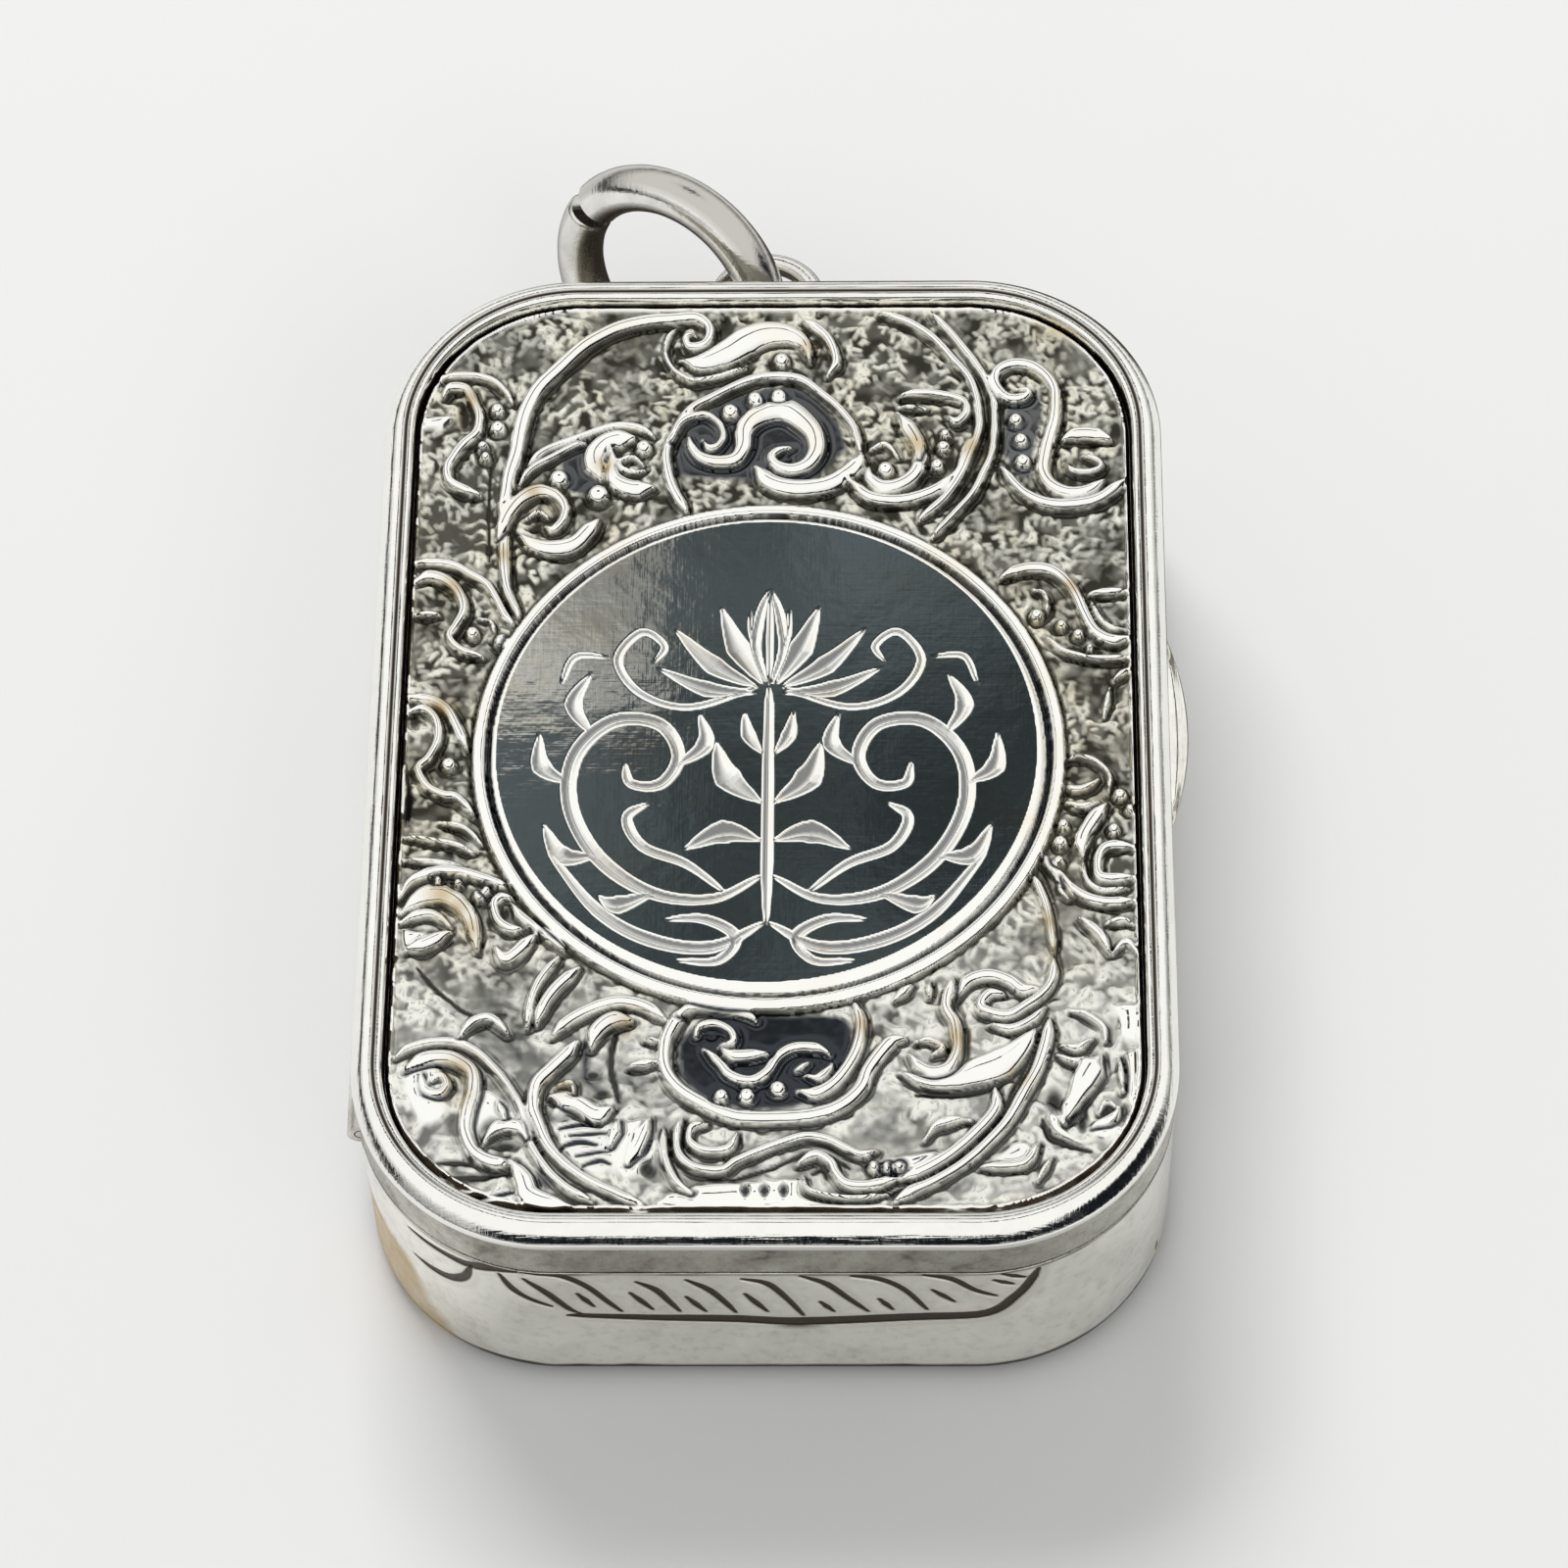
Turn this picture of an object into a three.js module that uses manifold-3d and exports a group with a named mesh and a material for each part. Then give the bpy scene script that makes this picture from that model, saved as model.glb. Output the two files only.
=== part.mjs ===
// A small late nineteenth century silver vinaigrette: a shallow box with rounded corners,
// a hinged lid with a half round moulding and a chased panel round a plain circular
// cartouche, a hinged and pierced gilt grille over a sponge, and a split jump ring that
// hangs in a fixed loop on one short end.
// Millimetres, +Z up. The origin is the middle of the underside of the base. +Y points to
// the end with the jump ring, +X to the long side with the thumbpiece. The hinge is at -X.

import * as THREE from 'three';
import * as BufferGeometryUtils from 'three/addons/utils/BufferGeometryUtils.js';
import Module from 'manifold-3d';

const wasm = await Module();
wasm.setup();

// Case
const WIDTH = 24.0;
const LENGTH = 34.0;
const CORNER_RADIUS = 5.9;
const FLOOR_THICKNESS = 0.7;
const FLOOR_EDGE_RADIUS = 0.6;
const WALL = 0.6;
const CASE_HEIGHT = 6.58;

// Inner collar that the lid closes over, and the ledge that carries it and the grille
const COLLAR_THICKNESS = 0.4;
const COLLAR_RISE = 0.75;
const COLLAR_DEPTH = 1.7;
const LEDGE_RISE = 0.02;
const LEDGE_THICKNESS = 0.35;
const LEDGE_WIDTH = 0.82;
const SOLDER_GAP = 0.04;

// Lid
const SEAM_GAP = 0.04;
const LID_WALL = 0.52;
const LID_BAND_HEIGHT = 1.48;
const LID_FLANGE_THICKNESS = 0.35;
const LID_FLANGE_WIDTH = 1.6;
const RIM_WIDTH = 0.9;
const RIM_HEIGHT = 0.76;
const RIM_OVERHANG = 0.05;
const RIM_ROUND_WIDTH = 0.74;
const PANEL_THICKNESS = 0.34;
const PANEL_GAP = 0.04;
const CARTOUCHE_RADIUS = 8.7;
const CARTOUCHE_OFFSET_Y = -0.45;
const CARTOUCHE_RISE = 0.13;
const CARTOUCHE_BEVEL = 0.3;
const CARTOUCHE_BEAD_WIDTH = 0.5;
const CARTOUCHE_BEAD_RISE = 0.2;

// Lid hinge along the long side at -X
const HINGE_INSET = 0.2;
const KNUCKLE_RADIUS = 0.45;
const KNUCKLE_COUNT = 5;
const KNUCKLE_GAP = 0.06;
const NOTCH_CLEARANCE = 0.1;
const HINGE_END_CLEARANCE = 0.25;
const PIN_RADIUS = 0.2;
const PIN_CLEARANCE = 0.04;

// Thumbpiece on the long side at +X
const THUMBPIECE_LENGTH = 7.0;
const THUMBPIECE_REACH = 0.66;
const THUMBPIECE_THICKNESS = 0.5;
const THUMBPIECE_DROP = 0.14;
const THUMBPIECE_OFFSET_Y = 0.5;

// The main scrolls of the chasing: width, then the points that the rib's line passes through.
const SCROLL_RISE = 0.24;
const SCROLL_STATION = 1.05;
const SCROLLS = [
  [0.45, [[-7.6, 4.3], [-8.15, 6], [-8.25, 8], [-7.95, 10.4], [-7.3, 12.9], [-6, 14.5],
    [-4.3, 15.4], [-2.4, 15.5]]],
  [0.6, [[-2.95, 14], [-1.5, 14.2], [-0.3, 14.95], [0.6, 14.8], [1.15, 13.95]]],
  [0.4, [[2.6, 11.1], [1.5, 12.7], [0, 13.35], [-1.9, 12.55], [-3.1, 11.1], [-3.2, 9.6], [-2.6, 8.4]]],
  [0.35, [[3.3, 15.6], [5, 14.8], [6.1, 13.3], [6.4, 11.6], [5.8, 9.5], [4.75, 8.2]]],
  [0.35, [[7.3, 12.6], [7, 13.3], [7.6, 13.8], [8.5, 13.3], [8.8, 12.2], [8.5, 10.7], [8.45, 9.6],
    [9.2, 8.95], [10.3, 9.4]]],
  [0.32, [[7.05, 9.95], [7.94, 8.8], [9.4, 8.5], [10.6, 9.15]]],
  [0.4, [[7.04, 5.8], [8.04, 6.15], [9.04, 5.65], [9.6, 4.4], [10.3, 3.55], [10.75, 3.6]]],
  [0.3, [[-10.7, 6.35], [-9.75, 6.3], [-8.7, 5.6], [-8.06, 4.4], [-7.75, 4.04]]],
  [0.3, [[-10.45, 5.75], [-9.5, 5.1], [-9.5, 4.1], [-9.5, 3.3], [-8.7, 2.96]]],
  [0.3, [[-10.6, -10.9], [-9.4, -10.35], [-8.1, -11], [-7.06, -12.5], [-6.6, -14], [-5, -15.5]]],
  [0.35, [[-5.45, -10.35], [-6.3, -11.4], [-6.65, -12.6], [-6, -14.1], [-4.4, -15.25]]],
  [0.4, [[-2.3, -9.4], [-2.9, -10.7], [-2.5, -11.9], [-1, -12.8], [0.6, -12.9], [2.25, -12.5],
    [3.1, -11.2], [4.1, -10.3]]],
  [0.4, [[7.86, -9.9], [6.9, -11.2], [5.3, -11.9], [3.94, -11.4]]],
  [0.35, [[8.3, -9.6], [7.94, -11.27], [7.1, -12.9], [5.8, -14.35], [4, -15.4]]],
  [0.3, [[8.35, -6.5], [8.4, -8.2], [7.6, -9.2], [6.5, -9.3]]],
  [0.4, [[-9.9, -11.2], [-9, -11], [-8.5, -12], [-8.5, -13.6], [-7.75, -14.3], [-7.2, -14.3]]],
  [0.35, [[-10.1, 12.7], [-9.5, 12.6], [-9.2, 11.4], [-9.9, 10.2], [-9.9, 9.4], [-9, 8.9]]],
  [0.25, [[-7.6, 10], [-6.6, 10.8], [-4.9, 11.45], [-3.7, 11.1]]],
  [0.3, [[-5.9, -7.6], [-6.8, -8.9], [-6.8, -9.8], [-6.2, -10], [-5.06, -9.3], [-3.6, -9.3]]],
  [0.3, [[-10.7, -5.5], [-10.2, -4.75], [-9.3, -4.6], [-8.4, -5], [-7.6, -5.3]]],
  [0.35, [[8.3, -4.2], [8.9, -5.2], [9.9, -5.85], [10.75, -5.8]]],
  [0.3, [[-10.7, 1.5], [-10, 1.3], [-9.37, 0.4], [-9.1, -0.4]]],
  [0.3, [[8.9, -0.73], [9.8, -0.9], [10.1, -1.9], [9.7, -3], [9.4, -4.1]]],
  [0.5, [[-2.6, 11.1], [-2.2, 10.26], [-1.1, 10.2], [-0.6, 11.7], [0.48, 12], [1.3, 11.1], [1.1, 10]]],
  [0.5, [[-0.5, 9.8], [0.7, 9.15], [2.2, 9.5], [2.75, 10.3]]],
  [0.5, [[3.85, 12], [4.55, 10.8], [4.4, 9.6], [3.2, 9.3]]],
  [0.6, [[-4.3, 11], [-5.3, 10.6], [-5.35, 9.6]]],
  [0.5, [[-4.95, 10.2], [-4.7, 9.3], [-3.7, 9.15]]],
  [0.45, [[-8.4, 7.3], [-7.75, 8.65], [-6.65, 8.85], [-6.5, 7.8]]],
  [0.5, [[-7.7, 7.35], [-6.7, 6.9], [-5.5, 7.7]]],
  [0.45, [[-10.6, -5.85], [-9.8, -5.4], [-8.9, -5.95], [-8.5, -7.2]]],
  [0.45, [[9.8, -10.9], [9.2, -12], [8.75, -13]]],
  [0.35, [[5.5, -8.3], [5.35, -9.5], [5.5, -10.7], [4.3, -10.9]]],
  [0.3, [[-2.45, -13.2], [-2.2, -14.4], [-0.8, -14.3], [1.2, -13.5], [3.2, -14]]],
];

// Grille
const GRILLE_CLEARANCE = 0.12;
const GRILLE_REST_GAP = 0.03;
const GRILLE_THICKNESS = 0.3;
const GRILLE_FRAME_WIDTH = 0.8;
const GRILLE_FRAME_HEIGHT = 0.25;
const PIERCING_FIELD_WIDTH = 19.14;
const PIERCING_FIELD_LENGTH = 30.08;
const GRILLE_HINGE_SETBACK = 0.25;
const GRILLE_KNUCKLE_RADIUS = 0.33;
const GRILLE_PIN_RADIUS = 0.13;
const GRILLE_KNUCKLE_LENGTH = 4.0;
const GRILLE_LEAF_REACH = 1.1;
const GRILLE_LEAF_THICKNESS = 0.16;
const GRILLE_TAB_LENGTH = 2.6;
const GRILLE_TAB_THICKNESS = 0.25;

// Sponge
const SPONGE_SIDE_GAP = 0.3;
const SPONGE_FLOOR_GAP = 0.25;
const SPONGE_TOP_GAP = 0.35;
const SPONGE_EDGE_RADIUS = 0.9;

// Fixed loop and jump ring on the short end at +Y
const LOOP_WIRE_RADIUS = 0.33;
const LOOP_HALF_WIDTH = 1.55;
const LOOP_REACH = 2.8;
const LOOP_HEIGHT = 5.6;
const LOOP_OFFSET_X = -0.3;
const RING_RADIUS = 3.59;
const RING_WIRE_RADIUS = 0.755;
const RING_SPLIT = 0.14;
const RING_FROM_LOOP = new THREE.Vector3(-3.14, 0.12, -1.27);
const RING_FACING = new THREE.Vector3(-0.52, -0.81, 0.27).normalize();
const RING_SPLIT_TOWARDS = new THREE.Vector3(-2.5, 2.09, 1.45);

// Facets
const CORNER_STEPS = 8;
const BARREL_STEPS = 20;
const WIRE_SIDES = 12;

const SILVER = { color: 0xd8d7d2, roughness: 0.16, metalness: 1.0 };
const CHASED_SILVER = { color: 0xb9b7ae, roughness: 0.3, metalness: 1.0 };
const GILT = { color: 0xd9b25a, roughness: 0.25, metalness: 1.0 };
const SPONGE = { color: 0xc9a46a, roughness: 0.95, metalness: 0.0 };

const halfWidth = WIDTH / 2;
const halfLength = LENGTH / 2;
const seamHeight = CASE_HEIGHT + SEAM_GAP / 2;
const lidBottom = CASE_HEIGHT + SEAM_GAP;
const lidBandTop = lidBottom + LID_BAND_HEIGHT;
const collarOutset = WALL + SOLDER_GAP;
const collarInset = collarOutset + COLLAR_THICKNESS;
const ledgeOutset = collarInset + SOLDER_GAP;
const ledgeInset = ledgeOutset + LEDGE_WIDTH;
const ledgeTop = CASE_HEIGHT + LEDGE_RISE;
const hingeX = -halfWidth + HINGE_INSET;
const notchRadius = KNUCKLE_RADIUS + NOTCH_CLEARANCE;
const cornerRun = Math.sqrt(CORNER_RADIUS ** 2 - (CORNER_RADIUS - HINGE_INSET) ** 2);
const notchHalfLength = halfLength - CORNER_RADIUS + cornerRun + HINGE_END_CLEARANCE / 2;
const hingeHalfLength = notchHalfLength - HINGE_END_CLEARANCE;
const grilleInset = collarInset + GRILLE_CLEARANCE;
const grilleBottom = ledgeTop + GRILLE_REST_GAP;
const grilleTop = grilleBottom + GRILLE_THICKNESS;
const frameTop = grilleTop + GRILLE_FRAME_HEIGHT;
const grilleHingeX = -halfWidth + collarInset + GRILLE_HINGE_SETBACK + GRILLE_KNUCKLE_RADIUS;
const grilleHingeZ = frameTop + GRILLE_LEAF_THICKNESS - GRILLE_KNUCKLE_RADIUS;
const grilleLeftX = grilleHingeX + GRILLE_KNUCKLE_RADIUS + GRILLE_CLEARANCE;

// Points of the rounded outline of the box, counter-clockwise, moved inwards by inset.
function outlinePoints(inset) {
  const radius = Math.max(CORNER_RADIUS - inset, 0.2);
  const cornerX = halfWidth - inset - radius;
  const cornerY = halfLength - inset - radius;
  const corners = [[1, 1, 0], [-1, 1, 1], [-1, -1, 2], [1, -1, 3]];
  const points = [];
  for (const [signX, signY, quarter] of corners) {
    for (let step = 0; step <= CORNER_STEPS; step++) {
      const angle = (quarter + step / CORNER_STEPS) * Math.PI / 2;
      const x = signX * cornerX + radius * Math.cos(angle);
      const y = signY * cornerY + radius * Math.sin(angle);
      points.push(new THREE.Vector2(x, y));
    }
  }
  return points;
}

// A closed section of [inset, height] pairs swept round the outline of the box.
function sweepRoundBox(section) {
  const loops = section.map(([inset]) => outlinePoints(inset));
  const count = loops[0].length;
  const positions = [];
  for (let i = 0; i < section.length; i++) {
    for (const point of loops[i]) {
      positions.push(point.x, point.y, section[i][1]);
    }
  }
  const index = [];
  for (let i = 0; i < section.length; i++) {
    const next = (i + 1) % section.length;
    for (let j = 0; j < count; j++) {
      const along = (j + 1) % count;
      const a = i * count + j;
      const b = i * count + along;
      const c = next * count + along;
      const d = next * count + j;
      index.push(a, b, c, a, c, d);
    }
  }
  return indexedGeometry(positions, index);
}

// Outlines stacked from bottom to top, [inset, height] each, closed by flat caps.
function stackRoundBox(layers) {
  const loops = layers.map(([inset]) => outlinePoints(inset));
  const count = loops[0].length;
  const positions = [];
  for (let i = 0; i < layers.length; i++) {
    for (const point of loops[i]) {
      positions.push(point.x, point.y, layers[i][1]);
    }
  }
  const index = [];
  for (let i = 0; i + 1 < layers.length; i++) {
    for (let j = 0; j < count; j++) {
      const along = (j + 1) % count;
      const a = i * count + j;
      const b = i * count + along;
      const c = (i + 1) * count + along;
      const d = (i + 1) * count + j;
      index.push(a, b, c, a, c, d);
    }
  }
  const last = (layers.length - 1) * count;
  for (const [a, b, c] of THREE.ShapeUtils.triangulateShape(loops[0], [])) {
    index.push(a, c, b);
  }
  for (const [a, b, c] of THREE.ShapeUtils.triangulateShape(loops[layers.length - 1], [])) {
    index.push(last + a, last + b, last + c);
  }
  return indexedGeometry(positions, index);
}

function indexedGeometry(positions, index) {
  const geometry = new THREE.BufferGeometry();
  geometry.setAttribute('position', new THREE.Float32BufferAttribute(positions, 3));
  geometry.setIndex(index);
  return geometry;
}

function toSolid(geometry) {
  const bare = geometry.clone();
  bare.deleteAttribute('normal');
  bare.deleteAttribute('uv');
  const merged = BufferGeometryUtils.mergeVertices(bare, 1e-5);
  const vertProperties = new Float32Array(merged.attributes.position.array);
  const triVerts = new Uint32Array(merged.index.array);
  return new wasm.Manifold(new wasm.Mesh({ numProp: 3, vertProperties, triVerts }));
}

function fromSolid(solid) {
  const mesh = solid.getMesh();
  return indexedGeometry(Array.from(mesh.vertProperties), Array.from(mesh.triVerts));
}

// A bar of any flat shape that runs along Y, with its shape given in X and Z.
function barAlongY(shape, startY, endY) {
  const geometry = new THREE.ExtrudeGeometry(shape, {
    depth: endY - startY,
    bevelEnabled: false,
    curveSegments: BARREL_STEPS / 4,
  });
  geometry.rotateX(Math.PI / 2);
  geometry.translate(0, endY, 0);
  return geometry;
}

function circlePoints(radius, steps, x = 0, y = 0) {
  const points = [];
  for (let step = 0; step < steps; step++) {
    const angle = step / steps * 2 * Math.PI;
    points.push(new THREE.Vector2(x + radius * Math.cos(angle), y + radius * Math.sin(angle)));
  }
  return points;
}

function rectangle(x0, y0, x1, y1) {
  const corners = [[x0, y0], [x1, y0], [x1, y1], [x0, y1]];
  return new THREE.Shape(corners.map(([x, y]) => new THREE.Vector2(x, y)));
}

function tube(outer, inner, startY, endY, x, z) {
  const shape = new THREE.Shape(circlePoints(outer, BARREL_STEPS, x, z));
  shape.holes.push(new THREE.Path(circlePoints(inner, BARREL_STEPS, x, z)));
  return barAlongY(shape, startY, endY);
}

function rod(radius, startY, endY, x, z) {
  return barAlongY(new THREE.Shape(circlePoints(radius, BARREL_STEPS, x, z)), startY, endY);
}

// The seat of the lid hinge, cut half from the case and half from the lid.
function hingeNotch() {
  return toSolid(rod(notchRadius, -notchHalfLength, notchHalfLength, hingeX, seamHeight));
}

function basePlate() {
  const layers = [];
  const steps = 5;
  for (let step = 0; step <= steps; step++) {
    const angle = step / steps * Math.PI / 2;
    const inset = FLOOR_EDGE_RADIUS * (1 - Math.sin(angle));
    const height = FLOOR_EDGE_RADIUS * (1 - Math.cos(angle));
    layers.push([inset, height]);
  }
  layers.push([0, FLOOR_THICKNESS]);
  return stackRoundBox(layers);
}

function caseWall() {
  const section = [
    [WALL, FLOOR_THICKNESS],
    [0, FLOOR_THICKNESS],
    [0, CASE_HEIGHT],
    [WALL, CASE_HEIGHT],
  ];
  return fromSolid(toSolid(sweepRoundBox(section)).subtract(hingeNotch()));
}

function grilleLedge() {
  const section = [
    [ledgeInset, ledgeTop - LEDGE_THICKNESS],
    [ledgeOutset, ledgeTop - LEDGE_THICKNESS],
    [ledgeOutset, ledgeTop],
    [ledgeInset, ledgeTop],
  ];
  return sweepRoundBox(section);
}

// The collar stands on the ledge, and its upper edge is eased so that the lid finds it.
function caseCollar() {
  const top = CASE_HEIGHT + COLLAR_RISE;
  const ease = COLLAR_THICKNESS / 3;
  const section = [
    [collarInset, CASE_HEIGHT - COLLAR_DEPTH],
    [collarOutset, CASE_HEIGHT - COLLAR_DEPTH],
    [collarOutset, top - ease],
    [collarOutset + ease, top],
    [collarInset, top],
  ];
  return fromSolid(toSolid(sweepRoundBox(section)).subtract(hingeNotch()));
}

function lidBand() {
  const section = [
    [LID_WALL, lidBottom],
    [0, lidBottom],
    [0, lidBandTop],
    [LID_FLANGE_WIDTH, lidBandTop],
    [LID_FLANGE_WIDTH, lidBandTop - LID_FLANGE_THICKNESS],
    [LID_WALL, lidBandTop - LID_FLANGE_THICKNESS],
  ];
  return fromSolid(toSolid(sweepRoundBox(section)).subtract(hingeNotch()));
}

// The moulding: a half round that stands on the lid's edge, with a low fillet inside it.
function lidRim() {
  const section = [];
  const steps = 8;
  const radius = (RIM_ROUND_WIDTH + RIM_OVERHANG) / 2;
  const foot = RIM_HEIGHT - radius;
  section.push([RIM_WIDTH, lidBandTop]);
  section.push([-RIM_OVERHANG / 2, lidBandTop]);
  for (let step = 0; step <= steps; step++) {
    const angle = step / steps * 0.87 * Math.PI;
    const inset = -RIM_OVERHANG + radius * (1 - Math.cos(angle));
    section.push([inset, lidBandTop + foot + radius * Math.sin(angle)]);
  }
  section.push([RIM_WIDTH, lidBandTop + foot + radius * 0.28]);
  return sweepRoundBox(section);
}

// The sheet that carries the chasing, with the raised cartouche and its bead.
function lidPanel() {
  const inset = RIM_WIDTH + PANEL_GAP;
  const top = lidBandTop + PANEL_THICKNESS;
  let chased = toSolid(stackRoundBox([[inset, lidBandTop], [inset, top]]));
  for (const [width, points] of SCROLLS) {
    chased = chased.add(toSolid(scrollRib(width, points, top)));
  }
  return fromSolid(chased.add(toSolid(cartouche(top))));
}

// A raised scroll of the chasing: a five sided rib along a smooth line through its points.
function scrollRib(width, points, top) {
  const knots = points.map(([x, y]) => new THREE.Vector3(x, y, 0));
  const line = new THREE.CatmullRomCurve3(knots, false, 'centripetal');
  const stations = Math.ceil(line.getLength() / SCROLL_STATION);
  const root = top - PANEL_THICKNESS / 2;
  const positions = [];
  for (let station = 0; station <= stations; station++) {
    const t = station / stations;
    const taper = Math.min(1, 0.45 + 2.2 * Math.min(t, 1 - t));
    const half = width / 2 * taper;
    const rise = SCROLL_RISE * taper;
    const at = line.getPointAt(t);
    const along = line.getTangentAt(t);
    const section = [
      [-half, root], [half, root], [0.8 * half, top + 0.6 * rise],
      [0, top + rise], [-0.8 * half, top + 0.6 * rise],
    ];
    for (const [side, height] of section) {
      positions.push(at.x + side * along.y, at.y - side * along.x, height);
    }
  }
  return prism(positions, 5, stations + 1);
}

// The round cartouche: a bevelled disc inside a bead.
function cartouche(top) {
  const half = CARTOUCHE_BEAD_WIDTH / 2;
  const root = top - PANEL_THICKNESS / 2;
  const profile = [new THREE.Vector2(0, root), new THREE.Vector2(CARTOUCHE_RADIUS + half, root)];
  for (let step = 0; step <= 6; step++) {
    const angle = step / 6 * Math.PI;
    const rise = CARTOUCHE_BEAD_RISE * Math.sin(angle);
    profile.push(new THREE.Vector2(CARTOUCHE_RADIUS + half * Math.cos(angle), top + rise));
  }
  const disc = CARTOUCHE_RADIUS - half - CARTOUCHE_BEVEL;
  profile.push(new THREE.Vector2(disc, top + CARTOUCHE_RISE), new THREE.Vector2(0, top + CARTOUCHE_RISE));
  const geometry = new THREE.LatheGeometry(profile, 64);
  geometry.rotateX(Math.PI / 2);
  geometry.translate(0, CARTOUCHE_OFFSET_Y, 0);
  return geometry;
}

// One of the knuckles of the lid hinge, counted from -Y.
function hingeKnuckle(number) {
  const pitch = 2 * hingeHalfLength / KNUCKLE_COUNT;
  const start = -hingeHalfLength + number * pitch + KNUCKLE_GAP / 2;
  const end = start + pitch - KNUCKLE_GAP;
  return tube(KNUCKLE_RADIUS, PIN_RADIUS + PIN_CLEARANCE, start, end, hingeX, seamHeight);
}

function hingePin() {
  const reach = hingeHalfLength - KNUCKLE_GAP / 2;
  return rod(PIN_RADIUS, -reach, reach, hingeX, seamHeight);
}

// A shallow crescent lip, thickest where it meets the lid and turned up at its edge.
function thumbpiece() {
  const stations = 16;
  const top = lidBandTop - THUMBPIECE_DROP;
  const bottom = top - THUMBPIECE_THICKNESS;
  const face = halfWidth;
  const positions = [];
  for (let station = 0; station <= stations; station++) {
    const along = station / stations - 0.5;
    const reach = THUMBPIECE_REACH * Math.max(Math.cos(Math.PI * along), 0.06) ** 0.8;
    const y = THUMBPIECE_OFFSET_Y + along * THUMBPIECE_LENGTH;
    const section = [
      [0, bottom],
      [0.55 * reach, bottom + 0.12 * THUMBPIECE_THICKNESS],
      [reach, bottom + 0.5 * THUMBPIECE_THICKNESS],
      [0.94 * reach, top],
      [0.5 * reach, top - 0.22 * THUMBPIECE_THICKNESS],
      [0, top],
    ];
    for (const [out, height] of section) {
      positions.push(face + out, y, height);
    }
  }
  return prism(positions, 6, stations + 1);
}

// Sections of equal point count joined along their row, with both ends closed.
function prism(positions, perSection, sections) {
  const index = [];
  for (let i = 0; i + 1 < sections; i++) {
    for (let j = 0; j < perSection; j++) {
      const next = (j + 1) % perSection;
      const a = i * perSection + j;
      const b = i * perSection + next;
      const c = (i + 1) * perSection + next;
      const d = (i + 1) * perSection + j;
      index.push(a, d, c, a, c, b);
    }
  }
  const last = (sections - 1) * perSection;
  for (let j = 1; j + 1 < perSection; j++) {
    index.push(0, j, j + 1);
    index.push(last, last + j + 1, last + j);
  }
  return indexedGeometry(positions, index);
}

// The grille's outline is the box's, cut straight along its hinge.
function grilleOutline(inset, leftX) {
  const radius = CORNER_RADIUS - inset;
  const cornerX = -halfWidth + inset + radius;
  const cornerY = halfLength - inset - radius;
  const runY = cornerY + Math.sqrt(Math.max(radius ** 2 - (cornerX - leftX) ** 2, 0));
  const kept = outlinePoints(inset).filter((point) => point.x > leftX + 0.05);
  const top = kept.filter((point) => point.y > 0);
  const bottom = kept.filter((point) => point.y <= 0);
  const left = [new THREE.Vector2(leftX, runY), new THREE.Vector2(leftX, -runY)];
  return [...top, ...left, ...bottom];
}

// A pierced leaf: a slim opening bent along an arc, widest near its root.
function leafOpening(x, y, length, width, turn, bend) {
  const steps = 7;
  const upper = [];
  const lower = [];
  for (let step = 0; step <= steps; step++) {
    const t = step / steps;
    const heading = turn + bend * t;
    const half = 0.5 * width * Math.sin(Math.PI * Math.pow(t, 0.7)) ** 0.8;
    const cx = x + length / bend * (Math.sin(heading) - Math.sin(turn));
    const cy = y + length / bend * (Math.cos(turn) - Math.cos(heading));
    upper.push(new THREE.Vector2(cx - half * Math.sin(heading), cy + half * Math.cos(heading)));
    lower.push(new THREE.Vector2(cx + half * Math.sin(heading), cy - half * Math.cos(heading)));
  }
  return [...lower, ...upper.slice(1, -1).reverse()];
}

// The openings of one quarter of the grille, around a rosette in its middle.
function quarterOpenings() {
  return [
    leafOpening(0.95, 0.55, 2.5, 1.1, 0.1, 0.9),
    leafOpening(0.5, 1.15, 2.5, 1.1, 1.45, -0.9),
    leafOpening(5.3, 0.55, 2.7, 1.05, -0.1, 1.2),
    leafOpening(3.9, 3.3, 3.4, 1.2, 0.2, -1.2),
    leafOpening(3.2, 5.0, 3.6, 1.3, 0.75, -1.4),
    leafOpening(0.7, 5.4, 3.0, 1.2, 0.9, 1.3),
    leafOpening(7.7, 6.4, 3.0, 1.15, 1.9, -1.5),
    leafOpening(3.4, 8.6, 3.4, 1.25, 0.3, 1.4),
    leafOpening(0.7, 9.6, 3.2, 1.2, 0.8, 1.3),
    leafOpening(3.2, 12.2, 2.9, 1.1, 0.35, -1.2),
    circlePoints(0.4, 10, 5.6, 7.5),
    circlePoints(0.36, 10, 2.6, 8.3),
    circlePoints(0.36, 10, 8.6, 4.4),
  ];
}

// The pierced scrollwork inside the frame, the same in all four quarters.
function grilleOpenings() {
  const right = halfWidth - grilleInset - GRILLE_FRAME_WIDTH;
  const left = grilleLeftX + GRILLE_FRAME_WIDTH;
  const spreadX = (right - left) / PIERCING_FIELD_WIDTH;
  const spreadY = 2 * (halfLength - grilleInset - GRILLE_FRAME_WIDTH) / PIERCING_FIELD_LENGTH;
  const middle = (left + right) / 2;
  const openings = [];
  const place = (points, signX, signY) => {
    openings.push(points.map((point) => {
      return new THREE.Vector2(middle + signX * spreadX * point.x, signY * spreadY * point.y);
    }));
  };
  for (const signY of [1, -1]) {
    for (const signX of [1, -1]) {
      quarterOpenings().forEach((points) => place(points, signX, signY));
    }
    place(circlePoints(0.4, 10, 0, 4.6), 1, signY);
    place(circlePoints(0.4, 10, 0, 9.0), 1, signY);
    place(circlePoints(0.5, 10, 0, 13.7), 1, signY);
  }
  place(circlePoints(0.6, 12), 1, 1);
  return openings;
}

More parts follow.
